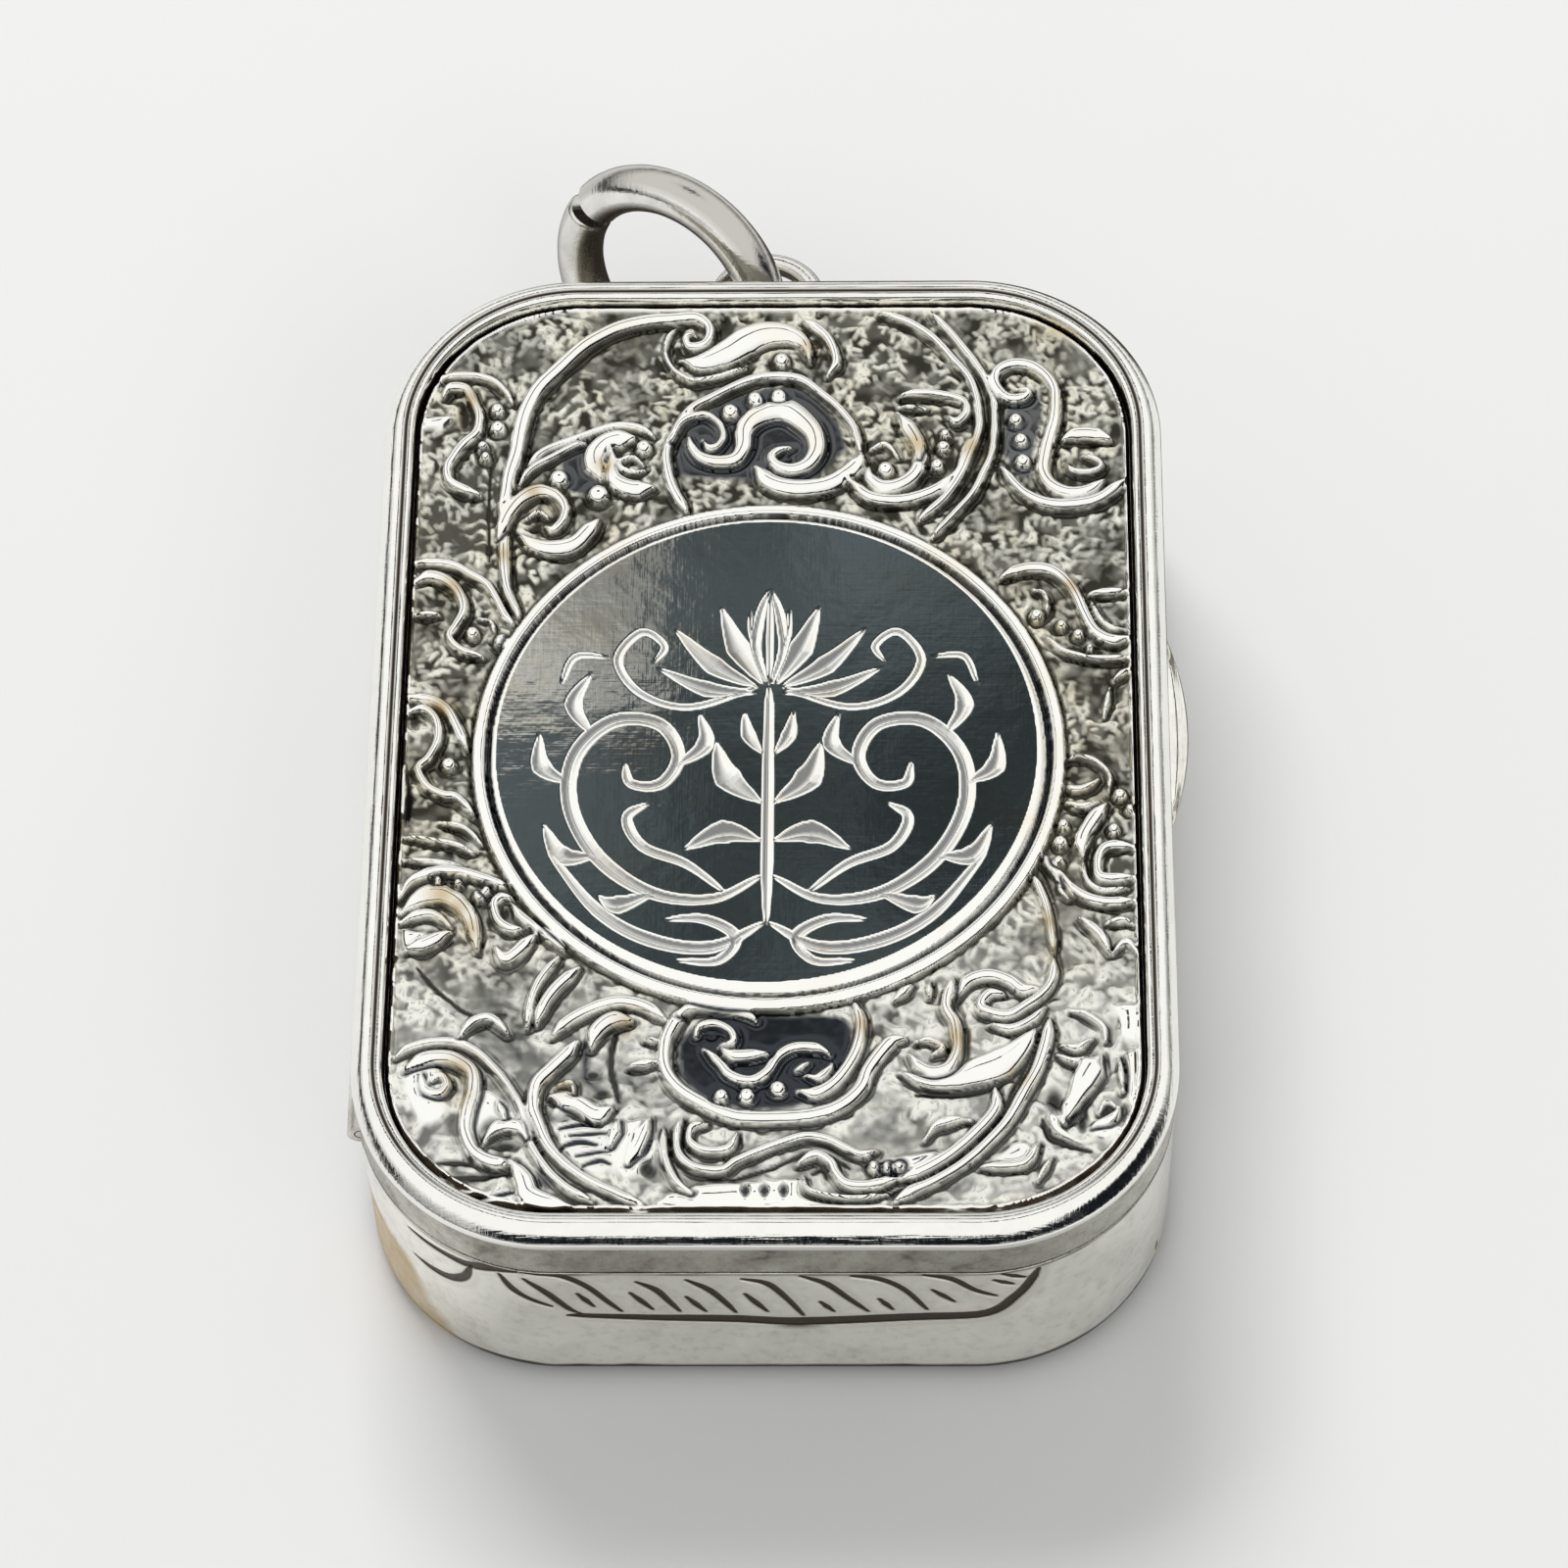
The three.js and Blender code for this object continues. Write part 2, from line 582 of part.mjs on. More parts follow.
function grillePlate() {
  const shape = new THREE.Shape(grilleOutline(grilleInset, grilleLeftX));
  for (const opening of grilleOpenings()) {
    shape.holes.push(new THREE.Path(opening));
  }
  const geometry = new THREE.ExtrudeGeometry(shape, { depth: GRILLE_THICKNESS, bevelEnabled: false });
  geometry.translate(0, 0, grilleBottom);
  return geometry;
}

function grilleFrame() {
  const shape = new THREE.Shape(grilleOutline(grilleInset, grilleLeftX));
  const innerLeft = grilleLeftX + GRILLE_FRAME_WIDTH;
  const inner = grilleOutline(grilleInset + GRILLE_FRAME_WIDTH, innerLeft);
  shape.holes.push(new THREE.Path(inner));
  const geometry = new THREE.ExtrudeGeometry(shape, { depth: GRILLE_FRAME_HEIGHT, bevelEnabled: false });
  geometry.translate(0, 0, grilleTop);
  return geometry;
}

function grilleBarrel(startY, endY) {
  const bore = GRILLE_PIN_RADIUS + PIN_CLEARANCE;
  return tube(GRILLE_KNUCKLE_RADIUS, bore, startY, endY, grilleHingeX, grilleHingeZ);
}

function grilleBore(startY, endY) {
  const bore = GRILLE_PIN_RADIUS + PIN_CLEARANCE;
  return toSolid(rod(bore, startY - 1, endY + 1, grilleHingeX, grilleHingeZ));
}

// The middle knuckle carries a leaf that lies on the grille's frame.
function grilleKnuckle() {
  const end = GRILLE_KNUCKLE_LENGTH / 2;
  const leafTop = frameTop + GRILLE_LEAF_THICKNESS;
  const leafEnd = grilleLeftX + GRILLE_LEAF_REACH;
  const leaf = barAlongY(rectangle(grilleHingeX, frameTop, leafEnd, leafTop), -end, end);
  const joined = toSolid(grilleBarrel(-end, end)).add(toSolid(leaf));
  return fromSolid(joined.subtract(grilleBore(-end, end)));
}

// The outer knuckles stand on the ledge on a foot of their own.
function grilleKnuckleCase(side) {
  const inner = GRILLE_KNUCKLE_LENGTH / 2 + KNUCKLE_GAP;
  const outer = inner + GRILLE_KNUCKLE_LENGTH;
  const start = side > 0 ? inner : -outer;
  const end = side > 0 ? outer : -inner;
  const halfFoot = 0.7 * GRILLE_KNUCKLE_RADIUS;
  const footShape = rectangle(grilleHingeX - halfFoot, ledgeTop, grilleHingeX + halfFoot, grilleHingeZ);
  const foot = barAlongY(footShape, start, end);
  const joined = toSolid(grilleBarrel(start, end)).add(toSolid(foot));
  return fromSolid(joined.subtract(grilleBore(start, end)));
}

function grillePin() {
  const reach = 1.5 * GRILLE_KNUCKLE_LENGTH;
  return rod(GRILLE_PIN_RADIUS, -reach, reach, grilleHingeX, grilleHingeZ);
}

// A half round finger tab that stands on the frame opposite the hinge.
function grilleTab() {
  const x = halfWidth - grilleInset - 0.1;
  const steps = 10;
  const points = [new THREE.Vector2(x, GRILLE_TAB_LENGTH / 2)];
  for (let step = 0; step <= steps; step++) {
    const angle = Math.PI / 2 + step / steps * Math.PI;
    const reach = 0.62 * GRILLE_TAB_LENGTH / 2;
    const px = x - 0.05 + reach * Math.cos(angle);
    points.push(new THREE.Vector2(px, GRILLE_TAB_LENGTH / 2 * Math.sin(angle)));
  }
  points.push(new THREE.Vector2(x, -GRILLE_TAB_LENGTH / 2));
  const shape = new THREE.Shape(points);
  const geometry = new THREE.ExtrudeGeometry(shape, { depth: GRILLE_TAB_THICKNESS, bevelEnabled: false });
  geometry.translate(0, 0, frameTop);
  return geometry;
}

function sponge() {
  const inset = ledgeInset + SPONGE_SIDE_GAP;
  const bottom = FLOOR_THICKNESS + SPONGE_FLOOR_GAP;
  const top = grilleBottom - SPONGE_TOP_GAP;
  const steps = 4;
  const layers = [];
  for (let step = 0; step <= steps; step++) {
    const angle = step / steps * Math.PI / 2;
    const side = inset + SPONGE_EDGE_RADIUS * (1 - Math.sin(angle));
    layers.push([side, bottom + SPONGE_EDGE_RADIUS * (1 - Math.cos(angle))]);
  }
  for (let step = 0; step <= steps; step++) {
    const angle = step / steps * Math.PI / 2;
    const side = inset + SPONGE_EDGE_RADIUS * (1 - Math.cos(angle));
    layers.push([side, top - SPONGE_EDGE_RADIUS * (1 - Math.sin(angle))]);
  }
  return stackRoundBox(layers);
}

// The centre line of the fixed loop: a leg, a half circle and a leg back to the case.
class LoopLine extends THREE.Curve {
  getPoint(t, target = new THREE.Vector3()) {
    const leg = LOOP_REACH - LOOP_HALF_WIDTH;
    const arc = Math.PI * LOOP_HALF_WIDTH;
    const run = t * (2 * leg + arc);
    if (run < leg) {
      return target.set(-LOOP_HALF_WIDTH, run, 0);
    }
    if (run > leg + arc) {
      return target.set(LOOP_HALF_WIDTH, 2 * leg + arc - run, 0);
    }
    const angle = Math.PI - (run - leg) / LOOP_HALF_WIDTH;
    const x = LOOP_HALF_WIDTH * Math.cos(angle);
    return target.set(x, leg + LOOP_HALF_WIDTH * Math.sin(angle), 0);
  }
}

function suspensionLoop() {
  const section = new THREE.Shape(circlePoints(LOOP_WIRE_RADIUS, 10));
  const geometry = new THREE.ExtrudeGeometry(section, {
    steps: 26,
    extrudePath: new LoopLine(),
  });
  geometry.translate(LOOP_OFFSET_X, halfLength, LOOP_HEIGHT);
  return geometry;
}

// The jump ring lies in its own XY plane with its split on its +X side.
class RingLine extends THREE.Curve {
  getPoint(t, target = new THREE.Vector3()) {
    const margin = RING_SPLIT / 2 / RING_RADIUS;
    const angle = margin + t * (2 * Math.PI - 2 * margin);
    return target.set(RING_RADIUS * Math.cos(angle), RING_RADIUS * Math.sin(angle), 0);
  }
}

function jumpRing() {
  const section = new THREE.Shape(circlePoints(RING_WIRE_RADIUS, WIRE_SIDES));
  return new THREE.ExtrudeGeometry(section, { steps: 48, extrudePath: new RingLine() });
}

// Leaning on the end wall, with its wire through the fixed loop.
function placeJumpRing(mesh) {
  const loopEye = new THREE.Vector3(LOOP_OFFSET_X, halfLength + LOOP_REACH, LOOP_HEIGHT);
  mesh.position.copy(loopEye).add(RING_FROM_LOOP);
  const across = RING_SPLIT_TOWARDS.clone().projectOnPlane(RING_FACING).normalize();
  const along = new THREE.Vector3().crossVectors(RING_FACING, across);
  const basis = new THREE.Matrix4().makeBasis(across, along, RING_FACING);
  mesh.quaternion.setFromRotationMatrix(basis);
}

const group = new THREE.Group();

function addPart(parent, name, geometry, look) {
  const mesh = new THREE.Mesh(geometry, new THREE.MeshStandardMaterial(look));
  mesh.name = name;
  parent.add(mesh);
  return mesh;
}

const caseGroup = new THREE.Group();
addPart(caseGroup, 'base_plate', basePlate(), SILVER);
addPart(caseGroup, 'case_wall', caseWall(), SILVER);
addPart(caseGroup, 'grille_ledge', grilleLedge(), GILT);
addPart(caseGroup, 'case_collar', caseCollar(), GILT);
addPart(caseGroup, 'hinge_pin', hingePin(), SILVER);
addPart(caseGroup, 'grille_pin', grillePin(), GILT);
addPart(caseGroup, 'grille_knuckle_case_1', grilleKnuckleCase(-1), GILT);
addPart(caseGroup, 'grille_knuckle_case_2', grilleKnuckleCase(1), GILT);
addPart(caseGroup, 'suspension_loop', suspensionLoop(), SILVER);
addPart(caseGroup, 'sponge', sponge(), SPONGE);
group.add(caseGroup);

const lidGroup = new THREE.Group();
addPart(lidGroup, 'lid_band', lidBand(), SILVER);
addPart(lidGroup, 'lid_rim', lidRim(), SILVER);
addPart(lidGroup, 'lid_panel', lidPanel(), CHASED_SILVER);
addPart(lidGroup, 'thumbpiece', thumbpiece(), SILVER);
group.add(lidGroup);

for (let number = 0; number < KNUCKLE_COUNT; number++) {
  const onLid = number % 2 === 1;
  const owner = onLid ? 'lid' : 'case';
  const name = `hinge_knuckle_${owner}_${Math.floor(number / 2) + 1}`;
  addPart(onLid ? lidGroup : caseGroup, name, hingeKnuckle(number), SILVER);
}

const grilleGroup = new THREE.Group();
addPart(grilleGroup, 'grille_plate', grillePlate(), GILT);
addPart(grilleGroup, 'grille_frame', grilleFrame(), GILT);
addPart(grilleGroup, 'grille_knuckle', grilleKnuckle(), GILT);
addPart(grilleGroup, 'grille_tab', grilleTab(), GILT);
group.add(grilleGroup);

placeJumpRing(addPart(group, 'jump_ring', jumpRing(), SILVER));

export default group;
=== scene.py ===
import math

import bpy
import numpy as np
from mathutils import Matrix, Vector


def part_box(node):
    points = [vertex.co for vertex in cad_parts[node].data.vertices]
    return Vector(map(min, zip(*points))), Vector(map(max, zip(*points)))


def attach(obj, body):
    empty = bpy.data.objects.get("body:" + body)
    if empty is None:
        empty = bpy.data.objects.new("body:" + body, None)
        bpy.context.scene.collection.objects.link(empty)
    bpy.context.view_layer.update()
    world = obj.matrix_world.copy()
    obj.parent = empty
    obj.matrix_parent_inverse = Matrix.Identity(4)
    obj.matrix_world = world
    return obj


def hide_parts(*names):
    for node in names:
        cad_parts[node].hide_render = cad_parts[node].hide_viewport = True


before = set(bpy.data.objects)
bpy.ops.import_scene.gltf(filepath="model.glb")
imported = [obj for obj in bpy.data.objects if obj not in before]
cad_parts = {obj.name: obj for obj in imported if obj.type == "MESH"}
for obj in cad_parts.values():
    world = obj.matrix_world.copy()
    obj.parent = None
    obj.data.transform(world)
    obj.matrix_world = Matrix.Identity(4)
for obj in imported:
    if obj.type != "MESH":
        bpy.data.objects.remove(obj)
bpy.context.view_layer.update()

# Lengths below are millimetres in the part's frame; meshes are written in metres.
MM = 0.001
TINY = 1e-9


def measured(node):
    """The lowest and the highest corner of a CAD node, in millimetres."""
    return [[round(value / MM, 3) for value in corner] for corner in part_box(node)]


# The main sizes, as the solids have them.
_, (HALF_WIDTH, HALF_LENGTH, WALL_TOP) = measured("case_wall")
_, (_, _, FLOOR_TOP) = measured("base_plate")
(_, _, BAND_BOTTOM), (_, _, BAND_TOP) = measured("lid_band")
_, (PANEL_SIDE, _, _) = measured("lid_panel")
(PIN_LEFT, _, PIN_LOW), (PIN_RIGHT, _, PIN_HIGH) = measured("hinge_pin")
(_, _, KNUCKLE_LOW), (_, KNUCKLE_END, KNUCKLE_HIGH) = measured("hinge_knuckle_case_3")
PANEL_INSET = round(HALF_WIDTH - PANEL_SIDE, 3)
HINGE_X = round((PIN_LEFT + PIN_RIGHT) / 2, 3)
SEAM = round((PIN_LOW + PIN_HIGH) / 2, 3)
# The notch for the lid hinge leaves a little room round the knuckles and past their ends.
NOTCH_RADIUS = round((KNUCKLE_HIGH - KNUCKLE_LOW) / 2 + 0.1, 3)
NOTCH_HALF = round(KNUCKLE_END + 0.28, 2)

CORNER = 5.9  # outer radius of the box's corners
WALL = 0.6  # thickness of the case's wall, and radius of the floor's lower edge
BAND = 0.52  # thickness of the lid's side band
PANEL_GROUND = BAND_TOP + 0.4  # height of the chased panel's ground
END_FROM = HALF_LENGTH - 4  # where the box's ends begin, along its length
PITCH = 0.05  # step of the panel's height map
DABS = 12500  # marks of the matting punch

# The round cartouche: its middle on the long axis, and radii from there outwards.
DISC_Y = -0.45
DISC_RADIUS = 8.36
RING_GROOVE = 8.43
RING_RIB = (8.47, 8.95)
RING_LINE = 8.98
RING_END = 9.3

# The direction away from the light, in which chased marks are shaded.
SHADED_X, SHADED_Y = 0.66, -0.75


# ---------------------------------------------------------------- meshes

def make_piece(name, points, faces, body, materials, replaces, angle, marks=None):
    """A piece from points in millimetres and groups of (faces, material's number), riding on a body."""
    mesh = bpy.data.meshes.new(name)
    points = np.asarray(points, np.float32).reshape(-1, 3) * MM
    groups = [(np.asarray(corners, np.int32), number) for corners, number in faces]
    loops = np.concatenate([corners.ravel() for corners, _ in groups])
    sizes = np.concatenate([np.full(len(corners), corners.shape[1]) for corners, _ in groups])
    starts = np.concatenate([[0], np.cumsum(sizes)[:-1]]).astype(np.int32)
    painted = np.concatenate([np.full(len(corners), number) for corners, number in groups]).astype(np.int32)
    mesh.vertices.add(len(points))
    mesh.vertices.foreach_set("co", points.ravel())
    mesh.loops.add(len(loops))
    mesh.loops.foreach_set("vertex_index", loops)
    mesh.polygons.add(len(sizes))
    mesh.polygons.foreach_set("loop_start", starts)
    mesh.update(calc_edges=True)
    mesh.validate()
    mesh.polygons.foreach_set("use_smooth", np.ones(len(mesh.polygons), bool))
    for material in materials:
        mesh.materials.append(material)
    # The numbers no longer fit where validate() has dropped a face.
    if len(mesh.polygons) == len(painted):
        mesh.polygons.foreach_set("material_index", painted)
    for mark, values in (marks or {}).items():
        layer = mesh.attributes.new(mark, "FLOAT", "POINT")
        layer.data.foreach_set("value", np.asarray(values, np.float32).ravel())
    mesh.set_sharp_from_angle(angle=math.radians(angle))
    piece = bpy.data.objects.new(name, mesh)
    bpy.context.scene.collection.objects.link(piece)
    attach(piece, body)
    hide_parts(*replaces)
    return piece


def grid_faces(rows, columns, wrap_rows=False, wrap_columns=False, flip=False):
    """Quads over points laid out as rows of columns."""
    i = np.arange(rows if wrap_rows else rows - 1)
    j = np.arange(columns if wrap_columns else columns - 1)
    i, j = np.meshgrid(i, j, indexing="ij")
    a = i * columns + j
    b = i * columns + (j + 1) % columns
    c = ((i + 1) % rows) * columns + (j + 1) % columns
    d = ((i + 1) % rows) * columns + j
    quads = np.stack([a, b, c, d], -1).reshape(-1, 4)
    return quads[:, ::-1] if flip else quads


def closed_tube(rings, first_hub, last_hub):
    """Points, side faces and the two end fans of closed rings of points that follow one another."""
    count, width = rings.shape[:2]
    hub = count * width
    ring = np.arange(width)
    first = np.stack([ring, np.roll(ring, -1), np.full(width, hub)], -1)
    last = first + [hub - width, hub - width, 1]
    points = np.vstack([rings.reshape(-1, 3), [first_hub], [last_hub]])
    return points, grid_faces(count, width, False, True, flip=True), first, last[:, ::-1]


def closed_block(rows, low_hub, high_hub):
    """Points, side faces, bottom fan and top fan of sections carried round the box, from its foot to its top."""
    count, width = rows.shape[:2]
    hub = np.full(count, count * width)
    foot = np.arange(count) * width
    after = np.roll(foot, -1)
    bottom = np.stack([after, foot, hub], -1)
    top = np.stack([foot + width - 1, after + width - 1, hub + 1], -1)
    points = np.vstack([rows.reshape(-1, 3), [low_hub], [high_hub]])
    return points, grid_faces(count, width, True, False, flip=True), bottom, top


# ---------------------------------------------------------------- the box's outline

ARC = math.pi / 2 * CORNER
SIDE_X = HALF_WIDTH - CORNER
SIDE_Y = HALF_LENGTH - CORNER
RUNS = [SIDE_X, ARC, 2 * SIDE_Y, ARC, 2 * SIDE_X, ARC, 2 * SIDE_Y, ARC, SIDE_X]
PERIMETER = sum(RUNS)


def edge_points(s):
    """Points of the outer edge and their outward normals, at lengths along it from the near end's middle."""
    s = np.mod(np.asarray(s, float), PERIMETER)
    points = np.zeros((len(s), 2))
    normals = np.zeros((len(s), 2))
    centres = [(SIDE_X, -SIDE_Y), (SIDE_X, SIDE_Y), (-SIDE_X, SIDE_Y), (-SIDE_X, -SIDE_Y)]
    start = 0.0
    for number, run in enumerate(RUNS):
        here = (s >= start - TINY) & (s <= start + run + TINY)
        t = s[here] - start
        turn = (number // 2 - 1) * math.pi / 2
        if number % 2:
            angle = turn + t / CORNER
            out = np.stack([np.cos(angle), np.sin(angle)], -1)
            points[here] = np.array(centres[number // 2]) + CORNER * out
        else:
            out = np.array([math.cos(turn), math.sin(turn)])
            along = np.array([-out[1], out[0]])
            before = {0: 0, len(RUNS) - 1: run}.get(number, run / 2)
            reach = HALF_WIDTH if number // 2 % 2 else HALF_LENGTH
            points[here] = reach * out + (t - before)[:, None] * along
        normals[here] = out
        start += run
    return points, normals


def stations(corner, straight, near=None, notch=False):
    """Lengths along the edge where a sweep has its sections: so many to a corner and to a straight run, finer
    over near (half a length, step) at the near end, and close together where the notch ends."""
    found = []
    start = 0.0
    for number, run in enumerate(RUNS):
        steps = corner if number % 2 else straight
        found.extend(start + run * np.arange(steps) / steps)
        start += run
    found = np.array(found)
    if near is not None:
        half, pitch = near
        fine = np.mod(np.arange(-half, half + pitch / 2, pitch), PERIMETER)
        outside = (found > half + pitch) & (found < PERIMETER - half - pitch)
        found = np.concatenate([found[outside], fine])
    if notch:
        turned = CORNER * math.asin((NOTCH_HALF - SIDE_Y) / CORNER)
        left = sum(RUNS[:6])
        ends = np.array([left - turned, left + RUNS[6] + turned])
        found = np.concatenate([found, ends - 0.01, ends + 0.01])
    return np.unique(np.round(found, 5))


def swept(s, section, relief=0):
    """Points of a section of (inset, height) pairs carried round the edge; relief pushes them outwards."""
    points, normals = edge_points(s)
    inset, height = (np.tile(column, (len(s), 1)) for column in np.array(section, float).T)
    xy = points[:, None, :] - (inset - relief)[..., None] * normals[:, None, :]
    return np.concatenate([xy, height[..., None]], -1)


def cut_notch(points, below):
    """Makes room for the round knuckles of the lid hinge, along the edge on the -X side."""
    x, y, z = points[..., 0], points[..., 1], points[..., 2]
    away = np.abs(x - HINGE_X)
    reach = np.sqrt(np.clip(NOTCH_RADIUS ** 2 - away ** 2, 0, None))
    held = (away < NOTCH_RADIUS) & (np.abs(y) < NOTCH_HALF)
    points[..., 2] = np.where(held, np.minimum(z, SEAM - reach) if below else np.maximum(z, SEAM + reach), z)
    return points


def inset_at(x, y):
    """How far inside the box's outer edge a point lies."""
    qx = np.abs(x) - SIDE_X
    qy = np.abs(y) - SIDE_Y
    outside = np.hypot(np.maximum(qx, 0), np.maximum(qy, 0)) + np.minimum(np.maximum(qx, qy), 0)
    return CORNER - outside


# ---------------------------------------------------------------- curves and noise

def rise(value, start, run):
    """0 up to start, and from there up to 1 over run."""
    return np.clip((value - start) / run, 0, 1)


def fall(value, end, run):
    """Down to 0 at end, from 1 a run before it."""
    return np.clip((end - value) / run, 0, 1)


def bell(away, reach):
    return np.exp(-(away / reach) ** 2)


def value_noise(x, y, size, rng):
    """Smooth random values from -1 to 1, with features of about size millimetres."""
    u = (x - x.min()) / size
    v = (y - y.min()) / size
    lattice = rng.uniform(-1, 1, (int(u.max()) + 3, int(v.max()) + 3))
    i, j = np.floor(u).astype(int), np.floor(v).astype(int)
    fu, fv = u - i, v - j
    fu, fv = fu * fu * (3 - 2 * fu), fv * fv * (3 - 2 * fv)
    low = lattice[i, j] * (1 - fu) + lattice[i + 1, j] * fu
    high = lattice[i, j + 1] * (1 - fu) + lattice[i + 1, j + 1] * fu
    return low * (1 - fv) + high * fv


def smooth_line(points, widths):
    """A smooth line through points, with a half width at each of its own points, tapered towards its ends."""
    points = np.asarray(points, float)
    ends = np.vstack([2 * points[0] - points[1], points, 2 * points[-1] - points[-2]])
    t = np.linspace(0, 1, 6, endpoint=False)[:, None]
    parts = []
    for a, b, c, d in zip(ends, ends[1:], ends[2:], ends[3:]):
        parts.append(0.5 * (2 * b + (c - a) * t + (2 * a - 5 * b + 4 * c - d) * t ** 2
                            + (3 * b - a - 3 * c + d) * t ** 3))
    line = np.vstack([*parts, points[-1:]])
    half = np.interp(np.linspace(0, 1, len(line)), np.linspace(0, 1, len(widths)), widths) / 2
    run = np.concatenate([[0], np.cumsum(np.linalg.norm(np.diff(line, axis=0), axis=1))])
    taper = np.clip(np.minimum(run, run[-1] - run) / 0.55 + 0.2, 0, 1) ** 0.8
    return line, half * taper


def from_stretch(x, y, a, b):
    """How far along the stretch from a to b its nearest point lies, 0 to 1, and the offsets from that point."""
    d = b - a
    t = np.clip(((x - a[0]) * d[0] + (y - a[1]) * d[1]) / max(d @ d, TINY), 0, 1)
    return t, x - a[0] - t * d[0], y - a[1] - t * d[1]


def tuples(words):
    """Words such as "1,2.5" as tuples of numbers."""
    return [tuple(map(float, word.split(","))) for word in words]


def strokes(text):
    """Lines of "number[/number...] x,y x,y ..." as (numbers, points). An indented line goes on with the last one."""
    found = []
    for row in text.strip().replace("\n  ", " ").splitlines():
        numbers, *points = row.split()
        found.append(([float(number) for number in numbers.split("/")], tuples(points)))
    return found


# ---------------------------------------------------------------- chased relief

class Relief:
    """A height map in millimetres that marks are worked into one after another, with the oxide left in them and painted
    shade laid on them.
    """

    def __init__(self, xs, ys):
        self.xs, self.ys = xs, ys
        self.x, self.y = np.meshgrid(xs, ys, indexing="ij")
        self.height = np.zeros(self.x.shape)
        self.oxide_and_shade = np.zeros(self.x.shape)
        self.ground = np.ones(self.x.shape)

    def window(self, low, high):
        i = np.searchsorted(self.xs, (low[0], high[0]))
        j = np.searchsorted(self.ys, (low[1], high[1]))
        return slice(i[0], i[1]), slice(j[0], j[1])

    def around(self, x, y, reach):
        return self.window((x - reach, y - reach), (x + reach, y + reach))

    def sink(self, win, depth, oxide_and_shade):
        """Lowers the surface and leaves oxide in it, with painted shade where a caller weights it by the light."""
        self.height[win] -= depth
        self.oxide_and_shade[win] = np.maximum(self.oxide_and_shade[win], oxide_and_shade)

    def lay(self, win, cover, height, oxide_and_shade=0.0):
        """Lays a plain surface over the ground, as far as cover goes."""
        self.height[win] = self.height[win] * (1 - cover) + height * cover
        self.oxide_and_shade[win] = self.oxide_and_shade[win] * (1 - cover) + oxide_and_shade * cover
        self.ground[win] *= 1 - cover

    def near(self, line, half, margin):
        """The grid round a line: its window, distances to the line, half widths and offsets to the shaded side."""
        reach = half.max() + margin
        win = self.window(line.min(0) - reach, line.max(0) + reach)
        x, y = self.x[win], self.y[win]
        best, width, side = np.full(x.shape, np.inf), np.zeros(x.shape), np.zeros(x.shape)
        for a, b, at_a, at_b in zip(line, line[1:], half, half[1:]):
            t, dx, dy = from_stretch(x, y, a, b)
            far = np.hypot(dx, dy)
            closer = far < best
            best = np.where(closer, far, best)
            width = np.where(closer, at_a + (at_b - at_a) * t, width)
            side = np.where(closer, SHADED_X * dx + SHADED_Y * dy, side)
        return win, best, width, side

    def rib(self, widths, points, shade, sharp=1.2):
        """A raised ridge with a chased groove beside it, deeper and wider on the side away from the light, where
        painted shade darkens the groove and the ridge's far flank.
        """
        slope, highest, level, lean, cut, edge, soft = 0.42, 0.2, 0.04, 0.2, 0.19, 0.095, 0.08
        win, far, half, side = self.near(*smooth_line(points, widths), 4 * edge)
        half = np.maximum(half, 0.04)
        beside = bell(np.maximum(far - half - 0.4 * edge, 0), edge) * (far > half - edge)
        # The groove's dark grows towards the side away from the light: painted shade over its oxide.
        beside = beside * np.clip(0.75 + 1.1 * side / (half + edge), 0.2, 1)
        self.sink(win, cut * beside, beside)
        body = level + np.minimum(slope * half, highest) * (1 - np.clip(far / half, 0, 1) ** sharp) - lean * side
        cover = np.clip((half - far) / soft + 0.5, 0, 1)
        # The flank away from the light gets painted shade in the oxide mark.
        self.lay(win, cover, body, shade * np.clip(1.7 * side / half - 0.5, 0, 1))

    def groove(self, widths, points, cut=0.12, oxide_and_shade=0.95, edge=0.05):
        """A cut line."""
        win, far, half, _ = self.near(*smooth_line(points, widths), 4 * edge)
        depth = bell(np.maximum(far - half * 0.6, 0), edge)
        self.sink(win, cut * depth, oxide_and_shade * depth)

    def bright_cut(self, widths, points):
        """A graver's cut: two slopes that meet, clean on the side away from the light and grey on the other, the grey
        being painted shade.
        """
        slope, grey = 0.5, 0.72
        win, far, half, side = self.near(*smooth_line(points, widths), 0.15)
        inside = np.maximum(half - far, 0)
        shaded = np.clip(0.5 - 2.5 * side / np.maximum(half, 0.02), 0, 1) * rise(inside, 0, 0.03)
        # The grey is painted shade.
        self.sink(win, slope * inside, grey * shaded)

    def bead(self, x, y, radius):
        """A round bead with a groove about it."""
        cut, oxide_and_shade, tall, sunk, soft = 0.12, 0.95, 0.2, 0.04, 0.07
        win = self.around(x, y, 2.2 * radius)
        far = np.hypot(self.x[win] - x, self.y[win] - y)
        beside = bell(far - radius - 0.06, 0.09)
        self.sink(win, cut * beside, oxide_and_shade * beside)
        dome = tall * np.sqrt(np.clip(1 - (far / radius) ** 2, 0, 1)) - sunk
        self.lay(win, np.clip((radius - far) / soft + 0.5, 0, 1), dome)

    def pocket(self, x, y, rx, ry, depth=0.16, oxide_and_shade=0.9):
        """An oval hollow."""
        win = self.around(x, y, 2.2 * max(rx, ry))
        inside = np.exp(-np.hypot((self.x[win] - x) / rx, (self.y[win] - y) / ry) ** 4)
        self.sink(win, depth * inside, oxide_and_shade * inside)

